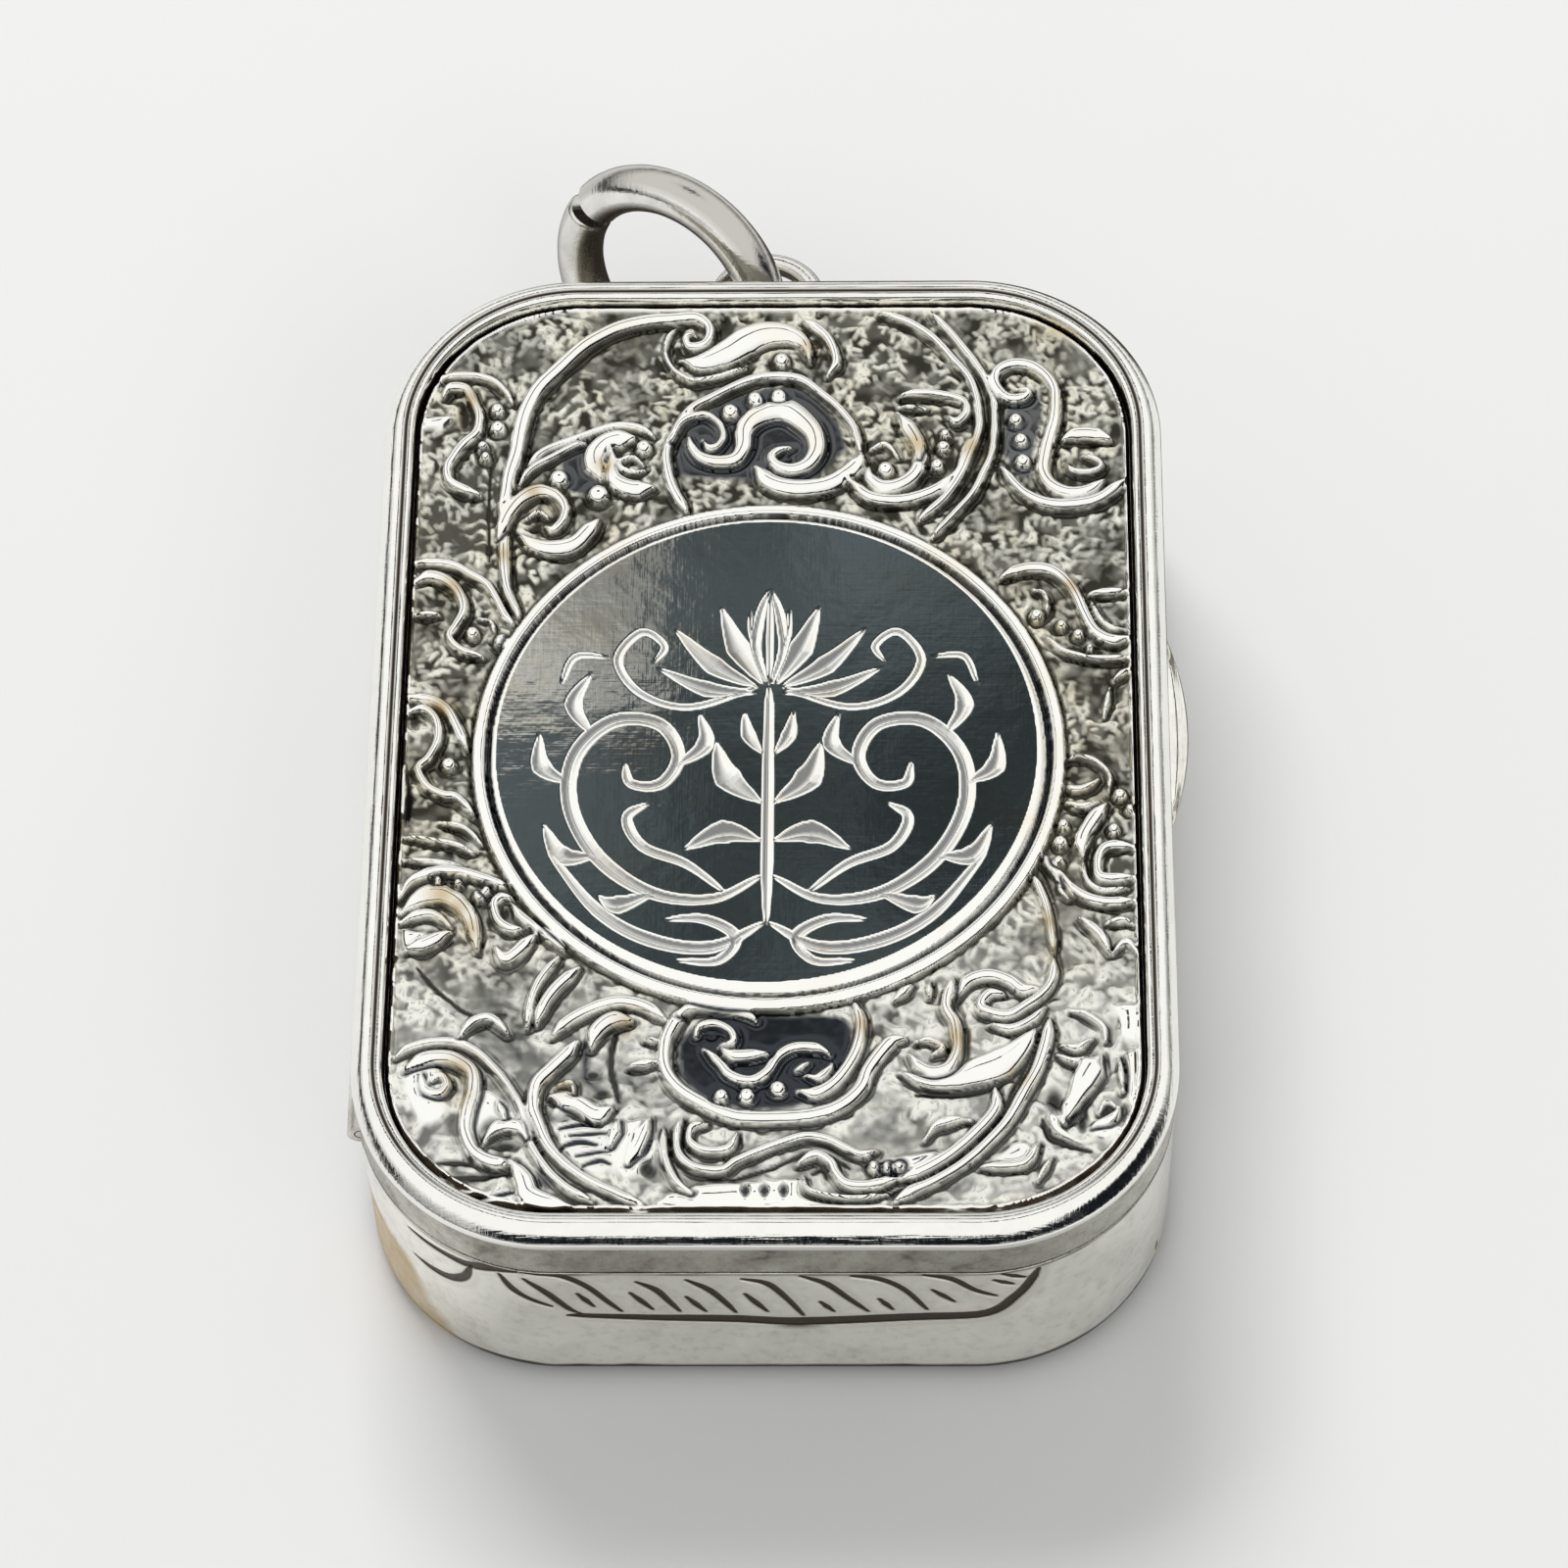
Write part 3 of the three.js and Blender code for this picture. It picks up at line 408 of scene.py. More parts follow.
    def covered(self, points, soft):
        """The grid inside a closed line: its window, a cover that fades over soft, and the depth inside."""
        line, _ = smooth_line([*points, points[0]], [0])
        win = self.window(line.min(0) - soft, line.max(0) + soft)
        x, y = self.x[win], self.y[win]
        inside = np.zeros(x.shape, bool)
        best = np.full(x.shape, np.inf)
        for a, b in zip(line, line[1:]):
            _, dx, dy = from_stretch(x, y, a, b)
            best = np.minimum(best, np.hypot(dx, dy))
            if a[1] != b[1]:
                crosses = (a[1] > y) != (b[1] > y)
                inside ^= crosses & (x < a[0] + (y - a[1]) * (b[0] - a[0]) / (b[1] - a[1]))
        return win, np.clip(np.where(inside, best, 0) / soft, 0, 1), best

    def smooth_field(self, points, level, oxide_and_shade, crown):
        """A plain field inside a closed line: no matting, one level, a little crowned."""
        win, cover, best = self.covered(points, 0.18)
        self.lay(win, cover, level + crown * np.minimum(best, 0.6), oxide_and_shade)

    def shaded_field(self, points, oxide_and_shade):
        """A part of the matting that lies lower and has its own share of oxide."""
        usual, most, deeper = 0.42, 0.82, 0.04
        win, cover, _ = self.covered(points, 0.22)
        self.oxide_and_shade[win] = np.clip(self.oxide_and_shade[win] + 0.8 * (oxide_and_shade - usual) * cover, 0, most)
        self.height[win] -= deeper * cover


# The ribs of the scrollwork: width (or widths along it), then the points they pass through.
RIBS = strokes("""
.3/.55/.45/.25 -7.6,4.3 -8,5.2 -8.15,6 -8.2,6.8 -8.25,8 -8.15,9.5 -7.95,10.4 -7.83,11.4 -7.64,12.2 -7.29,12.95
    -6.68,13.7 -5.98,14.5 -5.3,15 -4.7,15.3 -3.9,15.5 -3.1,15.57 -2.4,15.6 -2,15.15 -2.15,14.6 -2.65,14.5 -2.75,14.9
    -2.45,14.95
.2 -3.05,15.25 -3.33,14.8 -3.4,14.25 -3.2,13.7 -2.83,13.35 -2.45,13.2 -1.7,13.35 -.85,13.7
.35 .9,15.5 1.35,15.2 1.7,14.8 1.9,14.3 1.95,13.8 1.7,13.4
.3/.3/.3/.3/.42 2.75,10.4 2.6,11.1 2.48,11.5 2,12.2 1.5,12.7 .94,13.2 .3,13.35 -.45,13.3 -1.15,13 -1.9,12.55
    -2.45,12.2 -2.85,11.7 -3.1,11.1 -3.28,10.5 -3.25,9.9 -3.05,9.1 -2.6,8.2
.25 -3.1,10.9 -2.9,11.5 -2.5,11.82 -2.06,11.88 -1.68,11.57 -1.52,11.1 -1.7,10.7 -2,10.65 -2.15,10.95
.3/.5/.85/.45/.25 -2.6,11.1 -2.5,10.65 -2.2,10.26 -1.68,10.1 -1.14,10.2 -.9,10.65 -.87,11.26 -.6,11.7 -.06,12 .48,12
    1,11.57 1.3,11.1 1.36,10.5 1.1,10 .63,9.8 .17,9.95 -.02,10.26 .17,10.5 .6,10.65
.6 -.52,9.9 -.06,9.34 .7,9.1 1.63,9.2 2.25,9.57 2.67,10.03 2.78,10.4
.5 3.85,12 4.1,11.6 4.45,11 4.6,10.3 4.4,9.6 3.9,9.2 3.4,9.15 3.05,9.5 3,9.9
.2 3.05,10.6 3.5,10.75 3.9,10.3
.4 2.4,9.4 3,8.8 3.8,8.65 4.55,8.8 5.3,9.2 5.8,9.7 6,10.4 6.1,11
.3 3.95,12.6 4.55,12.7 5.1,12.65 5.7,12.5 6,12.3 6,11.9 5.7,11.6 5.4,11.85
.2 3.9,12.2 4.8,12.1
.3 3.3,15.8 4.25,15.4 5,14.8 5.6,14 6.1,13.3 6.3,12.7 6.4,12 6.4,11.3 6.1,10.3 5.8,9.5 5.3,8.7 4.55,7.95
.28 4.9,15.8 5.6,14.95 6.25,13.95 6.7,13.1 6.88,12.4 6.9,11.4 6.8,10.4 6.5,9.6 6.2,8.9 5.6,8.1 4.95,7.3
.25/.4/.4/.5/.35 7.6,12.85 7.95,12.75 7.8,12.5 7.3,12.5 6.95,13 7,13.5 7.5,13.8 8.1,13.7 8.55,13.3 8.78,12.8 8.8,12.2
    8.75,11.6 8.6,11 8.45,10.3 8.4,9.7 8.65,9.2 9.2,8.92 9.8,9.03 10.3,9.4
.5 9,10.9 9.4,11.1 10,11.1 10.5,10.9
.22 9.6,10.35 10.1,10.1 10.15,9.85 9.8,9.7 9.3,9.75 9.05,10.1
.3/.42/.4 7.05,9.95 7.5,9.26 7.94,8.8 8.6,8.5 9.4,8.5 10.1,8.7 10.7,9.2 10.9,9.4
.25 -7.6,10 -7.14,10.5 -6.6,10.8 -5.9,11.1 -5.2,11.4 -4.68,11.5 -4.14,11.4 -3.68,11.1
.25 -7.83,9.3 -7.45,9.88 -6.83,10.3 -6.2,10.7 -5.75,10.9
.7 -4.3,11 -4.98,10.9 -5.4,10.55 -5.5,10.1 -5.3,9.5
.3/.6/.6 -5,10.6 -4.9,10 -4.83,9.4 -4.3,9.1 -3.68,9.15
.18 -3.95,9.85 -4.2,9.75 -4.6,9.85 -4.7,10.15 -4.3,10.3 -4,10.05
.45/.5/.35/.3 -8.4,7.3 -8.14,8.1 -7.75,8.7 -7.2,9.03 -6.68,8.88 -6.37,8.4 -6.45,7.88 -6.75,7.57 -7,7.75
.2 -7.55,8.05 -7.2,8.25 -6.9,8.1
.4/.6/.5 -7.75,7.4 -7.3,7.03 -6.68,6.88 -6.06,7.03 -5.6,7.57 -5.3,7.95
.25 -10.45,13.3 -9.9,13.42 -9.3,13.4 -8.75,13.2 -8.37,12.8 -8.14,12.4
.35 -10.3,12.6 -10.1,12.95 -9.6,12.9 -9.35,12.4 -9.15,11.9 -9.2,11.25 -9.6,10.8 -9.9,10.3 -10.06,9.88 -9.95,9.4
    -9.5,9.1 -9,8.88
.3 -11,6.35 -10.45,6.4 -9.75,6.3 -9.2,5.96 -8.7,5.6 -8.37,5.04 -8.06,4.4 -7.75,4.04
.4/.4/.3/.25 -10.9,5.65 -10.45,5.9 -9.9,5.7 -9.5,5.2 -9.37,4.6 -9.6,4.04 -9.75,3.65 -9.37,3.2 -8.7,2.96
.3 -10.8,4.5 -10.1,4.5
.15 -8.9,4.4 -8.5,4.2 -8.37,3.65
.35 -11,1.5 -10.2,1.4 -9.7,1.04 -9.37,.4 -9.06,-.35
.3 -10.9,.96 -10.45,1.1 -10.06,.73 -9.95,.04 -10.2,-.65 -10.5,-1.04 -10.2,-1.65 -9.7,-1.96 -9.3,-2.04 -8.75,-2.65
.2 -10.95,-1 -10.9,-2.9
.2 -9.8,-2.9 -9.06,-3.1 -8.5,-3.65
.2 -10.8,-3.4 -9.4,-3.65 -8.75,-3.96
.2 -10.8,-4.2 -9.7,-4.3 -9,-4.4
.15/.35/.3/.25 -10.9,-5.6 -10.6,-5 -10.2,-4.75 -9.6,-4.6 -9,-4.65 -8.4,-4.85 -7.9,-5.05 -7.45,-5.1
.2/.6/.5/.3 -10.8,-6.05 -10.5,-5.75 -10.1,-5.45 -9.6,-5.4 -9.1,-5.7 -8.75,-6.2 -8.6,-6.8 -8.5,-7.3
.2/.3/.25/.2 -10.85,-6.4 -10.3,-6.1 -9.8,-6.1 -9.3,-6.5
.3 -7.5,-5.55 -7.85,-5.5 -8.05,-5.75 -7.9,-6.3 -7.5,-6.6 -7.1,-6.55
.3 -7.55,-5.7 -7.3,-6.1 -6.9,-6.45 -6.4,-6.85 -5.9,-7.3
.4 7.04,5.8 7.5,6.04 8.04,6.15 8.6,6.04 9.04,5.65 9.35,5.1 9.6,4.4 9.9,3.8 10.4,3.5 10.9,3.6
.2 8.04,5.4 8.35,5.2 8.42,4.65 8.1,4.2
.3 9.7,5.2 10.9,5.3
.18 9.75,5 10.04,4.3 10.4,3.96 10.8,3.95
.22 8.35,3.7 8.8,3.2 9.35,2.96 10.1,2.85 10.9,2.9
.3 10.4,2.1 10.9,2.5
.25 10.3,1.9 10.1,.8
.2 8.9,-.73 9.35,-.65 9.8,-.8 10.2,-1.27 10.2,-1.9
.25 8.7,-1.6 9.2,-1.8 9.65,-1.65 9.9,-1.4
.25 8.8,-2.2 9.35,-2.4 9.9,-2.2
.5 10.1,-2.3 9.65,-2.96 9.35,-3.6 9.4,-4.1
.35 10.9,-3.8 10.2,-3.75 9.9,-4 9.8,-4.5 9.95,-4.85 10.9,-4.85
.2 9.4,-4.1 9.4,-4.7 9.6,-5.1 10,-5.3 10.7,-5.2
.35 8.15,-4 8.6,-4.7 9,-5.2 9.5,-5.55 10.1,-5.7 10.9,-5.65
.2 8.6,-4.9 8.7,-5.3 8.95,-5.55
.3 7.85,-4.7 8.1,-5.3 8.3,-6 8.4,-6.8 8.45,-7.5
.3 9.2,-6.2 9.8,-6.75 10.1,-7.4
.25 10,-6.4 10.5,-6.3 10.8,-6.4
.25 10.2,-7.4 10.6,-7.05 10.9,-7.4
.25 -10.75,-10.9 -10.4,-10.6 -9.75,-10.4 -9,-10.4 -8.4,-10.7 -7.9,-11.2 -7.45,-11.8 -7.06,-12.5 -6.83,-13.3 -6.7,-13.8
    -6.2,-14.6 -5.6,-15.2 -4.9,-15.6
.4/.4/.3/.25 -5.45,-10.35 -5.75,-10.8 -6.2,-11.3 -6.6,-11.8 -6.68,-12.5 -6.5,-13.1 -6.2,-13.8 -5.7,-14.4 -5.06,-14.9
    -4.3,-15.3 -3.45,-15.7
.25 -6.06,-7.5 -6.6,-8.27 -6.87,-9.04 -6.95,-9.9
.35 -5.45,-7.9 -6.06,-8.5 -6.45,-9.1 -6.68,-9.8
.35 -6.2,-10.2 -5.75,-9.7 -5.06,-9.27 -4.3,-9.04 -3.5,-9.2 -2.9,-9.65
.45 -3.9,-9.7 -4.45,-9.65 -4.9,-10.04 -5.06,-10.6
.3 -3.95,-11.2 -3.06,-11.05
.3 -3.5,-10.3 -3.1,-10.35
.5 -6.2,-12.2 -5.45,-12.4 -4.83,-12.8 -4.4,-12.6
.2 -5.98,-11.8 -5.6,-11.75 -5.5,-12.1
.35 -4.2,-13 -4.4,-13.8
.35 -3.3,-12.9 -3.6,-13.8 -3.9,-14.4
.4 -2.3,-9.2 -2.7,-9.9 -2.9,-10.5 -2.87,-11.27 -2.5,-11.9 -1.83,-12.4 -1,-12.8 -.45,-12.9 .55,-12.9 1.5,-12.8
    2.25,-12.5 2.8,-11.96 3,-11.4 3.3,-10.9 3.7,-10.4 4.1,-10.3
.35 -2.5,-9.5 -2.1,-9.2 -1.6,-9.2 -.7,-9.35 -.25,-9.7
.25 -2,-10.2 -1.9,-9.9 -1.45,-9.8 -1,-10.04 -.9,-10.4 -1.25,-10.5
.3 -1.75,-10.65 -1.3,-11.1 -1,-11.5 -.4,-11.7 .1,-11.4 .4,-10.9 .86,-10.6 1.5,-10.6 1.9,-10.8
.35 -1.3,-10.6 -.9,-10.85 .1,-10.8
.25 .94,-11.35 1.3,-11.1
.25 1.2,-11.5 1.55,-11.6 1.9,-11.3 2,-11.1
.35 2.6,-9.04 2.8,-9.8 2.7,-10.6 2.4,-11.27 2,-11.8 1.5,-12.1 1,-12.04
.25 -.75,-13.4 -1,-13.9 -1.68,-13.96 -2.14,-13.65 -2.06,-13.2 -1.6,-13.1
.25 -2.37,-12.9 -2.5,-13.4 -2.45,-14.04 -1.98,-14.5 -1.2,-14.6 -.75,-14.3 -.06,-13.96 .7,-13.65 1.25,-13.5 1.86,-13.6
    2.4,-13.9 2.86,-14.1 3.3,-13.96
.25 -2.9,-13.2 -2.83,-14.2 -2.5,-14.96 -2.06,-15.35
.3 1,-14.4 1.5,-14.1 1.94,-14.35 2.1,-14.7 2.4,-15.04 3,-15.1 3.9,-14.9
.15 1.17,-14.8 1.3,-15.2 1.86,-15.4 2.7,-15.5 3.6,-15.35
.35 5.55,-8.9 5.94,-8.35 6.55,-8.15 7.17,-8.35 7.55,-8.65 8,-8.6
.3 8.45,-7.5 8.4,-8.3 8.1,-8.8 7.6,-9.2 7.1,-9.5 6.55,-9.4 6.3,-9.2 6.55,-8.8 7,-8.8
.25 6.55,-9.8 7.17,-9.96 7.8,-9.65 8.2,-9.2
.2/.55/.85/.8/.5/.35/.2 7.95,-9.9 7.5,-10.55 6.9,-11.1 6.2,-11.4 5.4,-11.7 4.6,-11.7 3.94,-11.4
.35 8.3,-9.6 8.2,-10.35 7.94,-11.27 7.55,-12.04 7.1,-12.9 6.5,-13.65 5.8,-14.35 5,-14.9 4.3,-15.27 3.8,-15.6
.35 6.7,-11.9 6.7,-12.6 6.2,-13.3 5.5,-14 4.8,-14.5 4,-14.9
.35 5.5,-8.27 5.3,-9.2 5.55,-9.8 5.6,-10.6 5.4,-11.2 4.94,-11.4 4.5,-11.2 4.2,-10.8
.2 4.4,-10.35 4.86,-10.35 5.2,-10.6 4.86,-10.8
.35 3.8,-9 4.3,-8.5
.3 4.8,-8.9 4.8,-8.4
.2 8.94,-9.35 9.4,-9.5 9.86,-9.9 9.94,-10.35
.25 8.6,-10.5 9.1,-10.6 9.55,-10.27
.2 8.5,-10.8 9,-11.04 9.55,-10.8
.5 9.8,-10.9 9.5,-11.5 9.17,-12.04 8.86,-12.6 8.7,-13.04
.2 10.3,-10.9 10.4,-12
.2 10.3,-12.6 9.9,-12.4 9.7,-12.7
.3 9.5,-13.2 10.1,-12.9 10.3,-12.5
.25 7.94,-13.7 7.5,-14.4 6.25,-14.5
.2 8.3,-14.2 7.9,-14.9
.4 -10.6,-7.3 -10,-7.1 -9.3,-6.7
.4 -8,-7.2 -7.6,-7.6 -6.8,-6.8
.3 -8.9,-10.2 -8.5,-9.7 -8,-9.6 -7.5,-10.1
.4 -10.4,-11.3 -9.9,-10.95 -9.3,-10.9 -8.9,-11.04 -8.5,-11.4 -8.45,-12.04 -8.6,-12.8 -8.6,-13.4 -8.3,-14.04
    -7.75,-14.35 -7.2,-14.35
.22 -9.98,-11.5 -9.8,-12 -9.4,-12.1 -9.2,-11.8 -9.4,-11.5 -9.65,-11.7
.2/.4/.4/.2 -8.1,-13.7 -7.65,-13.2 -7.15,-13.2 -6.85,-13.55
.3 -7.7,-12.4 -7.5,-12.9
.3/.55/.6/.5/.3 -7.3,-14.25 -6.9,-14.9 -6.7,-15.4 -6.2,-15.65 -5.5,-15.8
""")

# Fuller, polished buds that lie over the ribs.
BUDS = strokes("""
.15/.6/.9/1/.9/.75/.45/.3 -2.95,14 -2.3,13.85 -1.5,14.2 -.9,14.65 -.3,14.95 .4,14.95 .95,14.6 1.15,13.95
.2/.6/.55/.3 3.9,11.9 4.2,11.4 4.5,10.8 4.55,10.2
.3/.85/.8/.5/.25 9.8,-10.8 9.45,-11.4 9.1,-12.1 8.8,-12.9
.1/.35/.1 4.65,-13.6 5,-13.15 5.5,-12.98 6,-12.95
""")

# Lines cut into the ground beside the ribs.
GROOVES = strokes("""
.08 -8.7,10.6 -8.75,9.4 -8.72,8 -8.65,6.5
.2 -3.9,-9.9 -4.3,-9.96 -4.45,-10.65 -4.45,-11.3 -4.2,-12.3
.12 -.9,-14.85 .3,-14.5 1,-14.1 1.5,-13.9 2,-14.1 2.5,-14.5
.12 1.4,-14.65 1.7,-14.5 1.85,-14.8
.12 7.95,-10.2 7.6,-11.1 7.1,-12.2 6.8,-12.85 6.1,-13.7 5.1,-14.6 3.9,-15.2 3,-15.5
.1 8.1,-4.3 8.35,-5 8.5,-5.5
.12 9.65,-3 9.7,-3.8 9.6,-4.4 9.75,-4.95 10.2,-5.05 10.7,-5.03
.14 -5.9,-13.25 -5.2,-13.1 -4.7,-13.2
.1 -5.6,-13.5 -4.5,-13.4
.16 -5.9,-13.85 -5.3,-13.7 -4.8,-13.8
.08 -5.4,-14.15 -4.5,-14
.13 -5.2,-14.45 -4.7,-14.3 -4.4,-14.4
.14 -9.4,-14.3 -8.2,-14.3 -7.3,-14.1
.18 8.05,-12.9 8.2,-13.4 8.7,-13.7 9.45,-13.95
.18 4.4,-12.1 5.6,-12.1 6.7,-11.8 7.2,-11.55
.16 -6.6,-12.1 -6.55,-13 -6.2,-13.8 -5.7,-14.4 -4.9,-15 -3.9,-15.5
.18 -9.2,-14.75 -8.1,-14.75 -7.1,-14.6
.14 -8.6,-15.5 -7.7,-15.45 -6.95,-15.2
.12 -10.25,-7.85 -9.85,-8.35 -9.3,-8.95 -8.5,-9.45 -7.6,-9.35
""")

# Beads: x, y and radius.
BEADS = tuples("""
.25,13.95,.28 -1.33,12,.3 -.57,12.47,.28 .17,12.57,.28 7.55,11.65,.25 7.7,10.9,.25 7.75,10.1,.27 -6.6,9.5,.33
8.85,4.04,.2 9.35,3.7,.2 9.7,3.2,.15 8.8,-3.04,.22 8.7,-3.65,.25 8.65,-4.3,.2 -1.25,-12.2,.25 -.5,-12.2,.28
.4,-11.96,.28 3.5,9.8,.3 5.3,10.65,.25 5.1,9.95,.25 5.35,11.1,.2 -5.37,8.9,.36 -4,10.65,.28 -8.56,11.4,.28 -9,10.7,.2
-8.9,10.3,.2 -8.6,12.1,.24 -9.06,3.8,.24 -8.15,3.5,.28 -9.6,-.9,.26 8.1,4.4,.24 10.5,-2,.24 10.8,-2.5,.18
10.3,-3.2,.22 3.2,-14.5,.22 3.6,-14.5,.2 3.9,-14.5,.18 -9.75,-4.95,.14 -9.15,-5.05,.16 -8.5,-5.45,.24 -8.3,-5.3,.16
""".split())

# Oxidised hollows: x, y and the two radii.
POCKETS = tuples("""
-7.35,7.7,.22,.16 9.2,10.05,.2,.2 3.4,10.25,.3,.2 -5,-11.4,.3,.2 -4.7,-12,.3,.2 -7.45,-13.75,.45,.2 .45,10.25,.16,.12
-1.6,15.6,.12,.12 -1,15.6,.12,.12 -.15,15.6,.12,.12 1.4,15.7,.12,.12 -.5,-15.27,.13,.25 .05,-15.27,.13,.25
.6,-15.27,.13,.25 -10.4,-5.85,.14,.12 -8.15,-6.2,.2,.35 8.75,-3.35,.35,.9 5.5,10.2,.3,.5 -9.6,11.8,.2,.5
-1.55,-10.2,.2,.15 8.4,-12.3,.3,.5 9.9,-12.7,.3,.3 -7.7,-5.95,.16,.3 9.6,-6.3,.3,.15 9.2,-13,.15,.4 -3.4,-13.6,.2,.5
-3.3,-14.5,.25,.3 3.3,-14.7,.12,.2 3.75,-14.7,.1,.2
""".split())

# Brownish bloom: x, y and reach.
WARM = tuples("""
-9.6,-5.5,.45 -9.2,-6,.45 -8.8,-6.7,.45 -8.9,-11.4,.45 -8.85,-12.2,.4 -9.5,12.4,.45 1.2,14.4,.35 8.35,-6.4,.4
8.3,-7.4,.35 5.6,-10.3,.5 -4,-9.9,.4 4.5,10.7,.5 6.2,10.6,.45 9,15,.6 2.9,-9.9,.4 -5.9,-11.9,.3 7.4,-11.6,.3
-9.7,5.4,.45 -9.85,1.2,.4 -5.2,9.9,.3 -7.4,8.95,.3 9.2,5.4,.35 -8.2,6.6,.35
""".split())

# Fields among the scrolls, by the points round them. Plain ones have a level, an oxide and a crown; those with
# an oxide alone stay matted. Plain ones with an oxide of 0.8 and more are polished hollows painted dark: painted
# reflection of the dark room over their oxide.
FIELDS = strokes("""
-.1/.84/0 2.4,10.6 2.1,11.7 1.2,12.8 .2,13.1 -1,12.8 -2.3,12 -3,10.8 -2.9,9.6 -1,9.4 1,9.3
-.08/.88/0 -2.6,-10.4 -2.5,-11.5 -1.5,-12.4 .4,-12.7 1.8,-12.2 2.6,-11 2.4,-9.6 .5,-9.4 -1.6,-9.4
-.1/.8/0 7.1,10.3 7.2,12.2 8.2,12.8 8.5,12 8.2,10.6 8,9.2
.5 10,-4.1 10.85,-4.1 10.85,-4.6 10,-4.6
-.08/.84/0 -6.6,10.3 -5.6,10.9 -5.3,10 -5.4,9 -6.4,9
.45 -10.8,-6.5 -9.8,-6.3 -9.2,-6.9 -9.9,-7.1 -10.8,-7
.5 -10.15,-7.8 -8.9,-7.6 -8.3,-7.4 -6.8,-7.95 -7.5,-8.9 -8,-9.05 -9.1,-8.95 -9.7,-8.45
.66 -8.1,-9.3 -7.1,-9.2 -7,-10.8 -7.3,-10.9 -8,-9.9
0/.04/.266 -10.8,-6.5 -9.9,-6.6 -9.15,-6.55 -9.15,-6.95 -9.7,-6.9 -10.4,-7.25 -10.7,-7.25 -10.85,-6.9
-.05/.1/.228 -10.6,-11 -10.5,-12 -10.2,-12.8 -9.8,-13.2 -9.2,-12.9 -9.1,-12 -9.3,-11.2 -10,-10.9
-.05/.12/.228 -8.6,-11.5 -7.9,-11.9 -7.2,-12.6 -7,-13.1 -7.9,-13 -8.4,-13.7 -8.75,-13
.5 -9.7,-13.9 -8.6,-14.1 -7.3,-14.4 -7.2,-15 -8.8,-15 -9.4,-14.8
-.05/.15/.19 -8.9,-15.2 -7.8,-15.15 -7,-15.2 -6.9,-15.75 -8.2,-15.8
-.12/.8/0 -6.7,-14.4 -6.1,-14.6 -5.9,-15.1 -6.3,-15.2 -6.6,-15
0/.03/.304 -6.1,-11.95 -5.2,-12.1 -4.4,-12.45 -4.7,-12.85 -5.6,-12.75 -6.15,-12.8
-.05/.16/.152 -6.1,-12.95 -4.3,-12.9 -4.2,-14.5 -5,-14.7 -5.9,-14
-.03/.08/.228 -4.5,-13.1 -3.9,-12.9 -3.3,-12.9 -3,-14 -3.9,-15 -4.4,-14.4
.76 -4,-11.2 -2.9,-11.5 -2.6,-12.1 -3.4,-12.6 -4.1,-12.4
-.12/.86/0 -5.3,-10.2 -5,-10.6 -5,-11.5 -4.5,-12.05 -4.9,-12 -5.35,-11.7 -5.4,-10.8
.54 6.8,-6.6 7.9,-6.1 8.05,-8 7.5,-8.3 7.2,-7.7 6.5,-6.9
.76 3.1,-9.1 3.8,-9.1 4.1,-9.7 3.6,-10.2 3,-10.4
.78 5,-9.1 5.3,-9.1 5.25,-9.8 4.95,-9.7
.58 3.4,-12.7 4.6,-12.4 5.2,-12.25 5.8,-12.6 5,-13 4.7,-13.6 3.4,-13.8 2.8,-13.3
.6 5,-13.3 5.6,-13.1 5.4,-13.7
0/.06/.228 3.3,-14.2 4.2,-14 5.3,-13.9 5,-14.5 4,-15 3.1,-15.1
.3 7.1,-12 7.9,-11.6 7.9,-14 7,-14 6.6,-13.2
.56 8.95,-6.2 10,-6.9 10.9,-7.6 10.9,-8.9 9.8,-8.9 9,-8.2
0/.05/.266 9.5,-12.9 10.2,-12.7 10.4,-13.2 9.9,-13.7 9.3,-13.4
0/.06/.266 8.1,-12.2 8.5,-12.4 8.8,-13.3 9.3,-13.7 8.6,-13.6 8.15,-13.2
-.02/.1/.19 10,-9.1 10.9,-9.1 10.9,-10.4 10.3,-10.3 10.2,-9.6
0/.06/.228 10.4,-10.7 10.9,-10.7 10.75,-12.6 10.4,-12.2
.66 4.3,-15.75 5.2,-15.1 5.8,-14.95 5.5,-15.5 4.6,-15.8
.62 6.1,-15.3 6.5,-14.9 7.8,-14.65 7.7,-15 6.6,-15.3
-.04/.14/.19 6.2,-14.7 7.2,-13.6 7.9,-13.9 7.5,-14.5
.45 8.1,-14.9 8.5,-14.2 9,-14.2 8.9,-14.8
-.02/.05/.19 -2.9,-15.3 -2,-15 -.5,-14.9 1.1,-14.8 1.2,-15.4 2.5,-15.8 -2.8,-15.85
0/.05/.228 -10.95,11.9 -10,12 -9.95,11.7 -10.3,11.35 -10.9,11.35
.62 -10.9,8.9 -10,9 -9.1,8.7 -8.85,7 -9.5,6.8 -10.9,6.9
.76 -9.9,9.9 -9.2,10.4 -8.9,9.6 -9.1,8.95 -9.6,9.2
""")

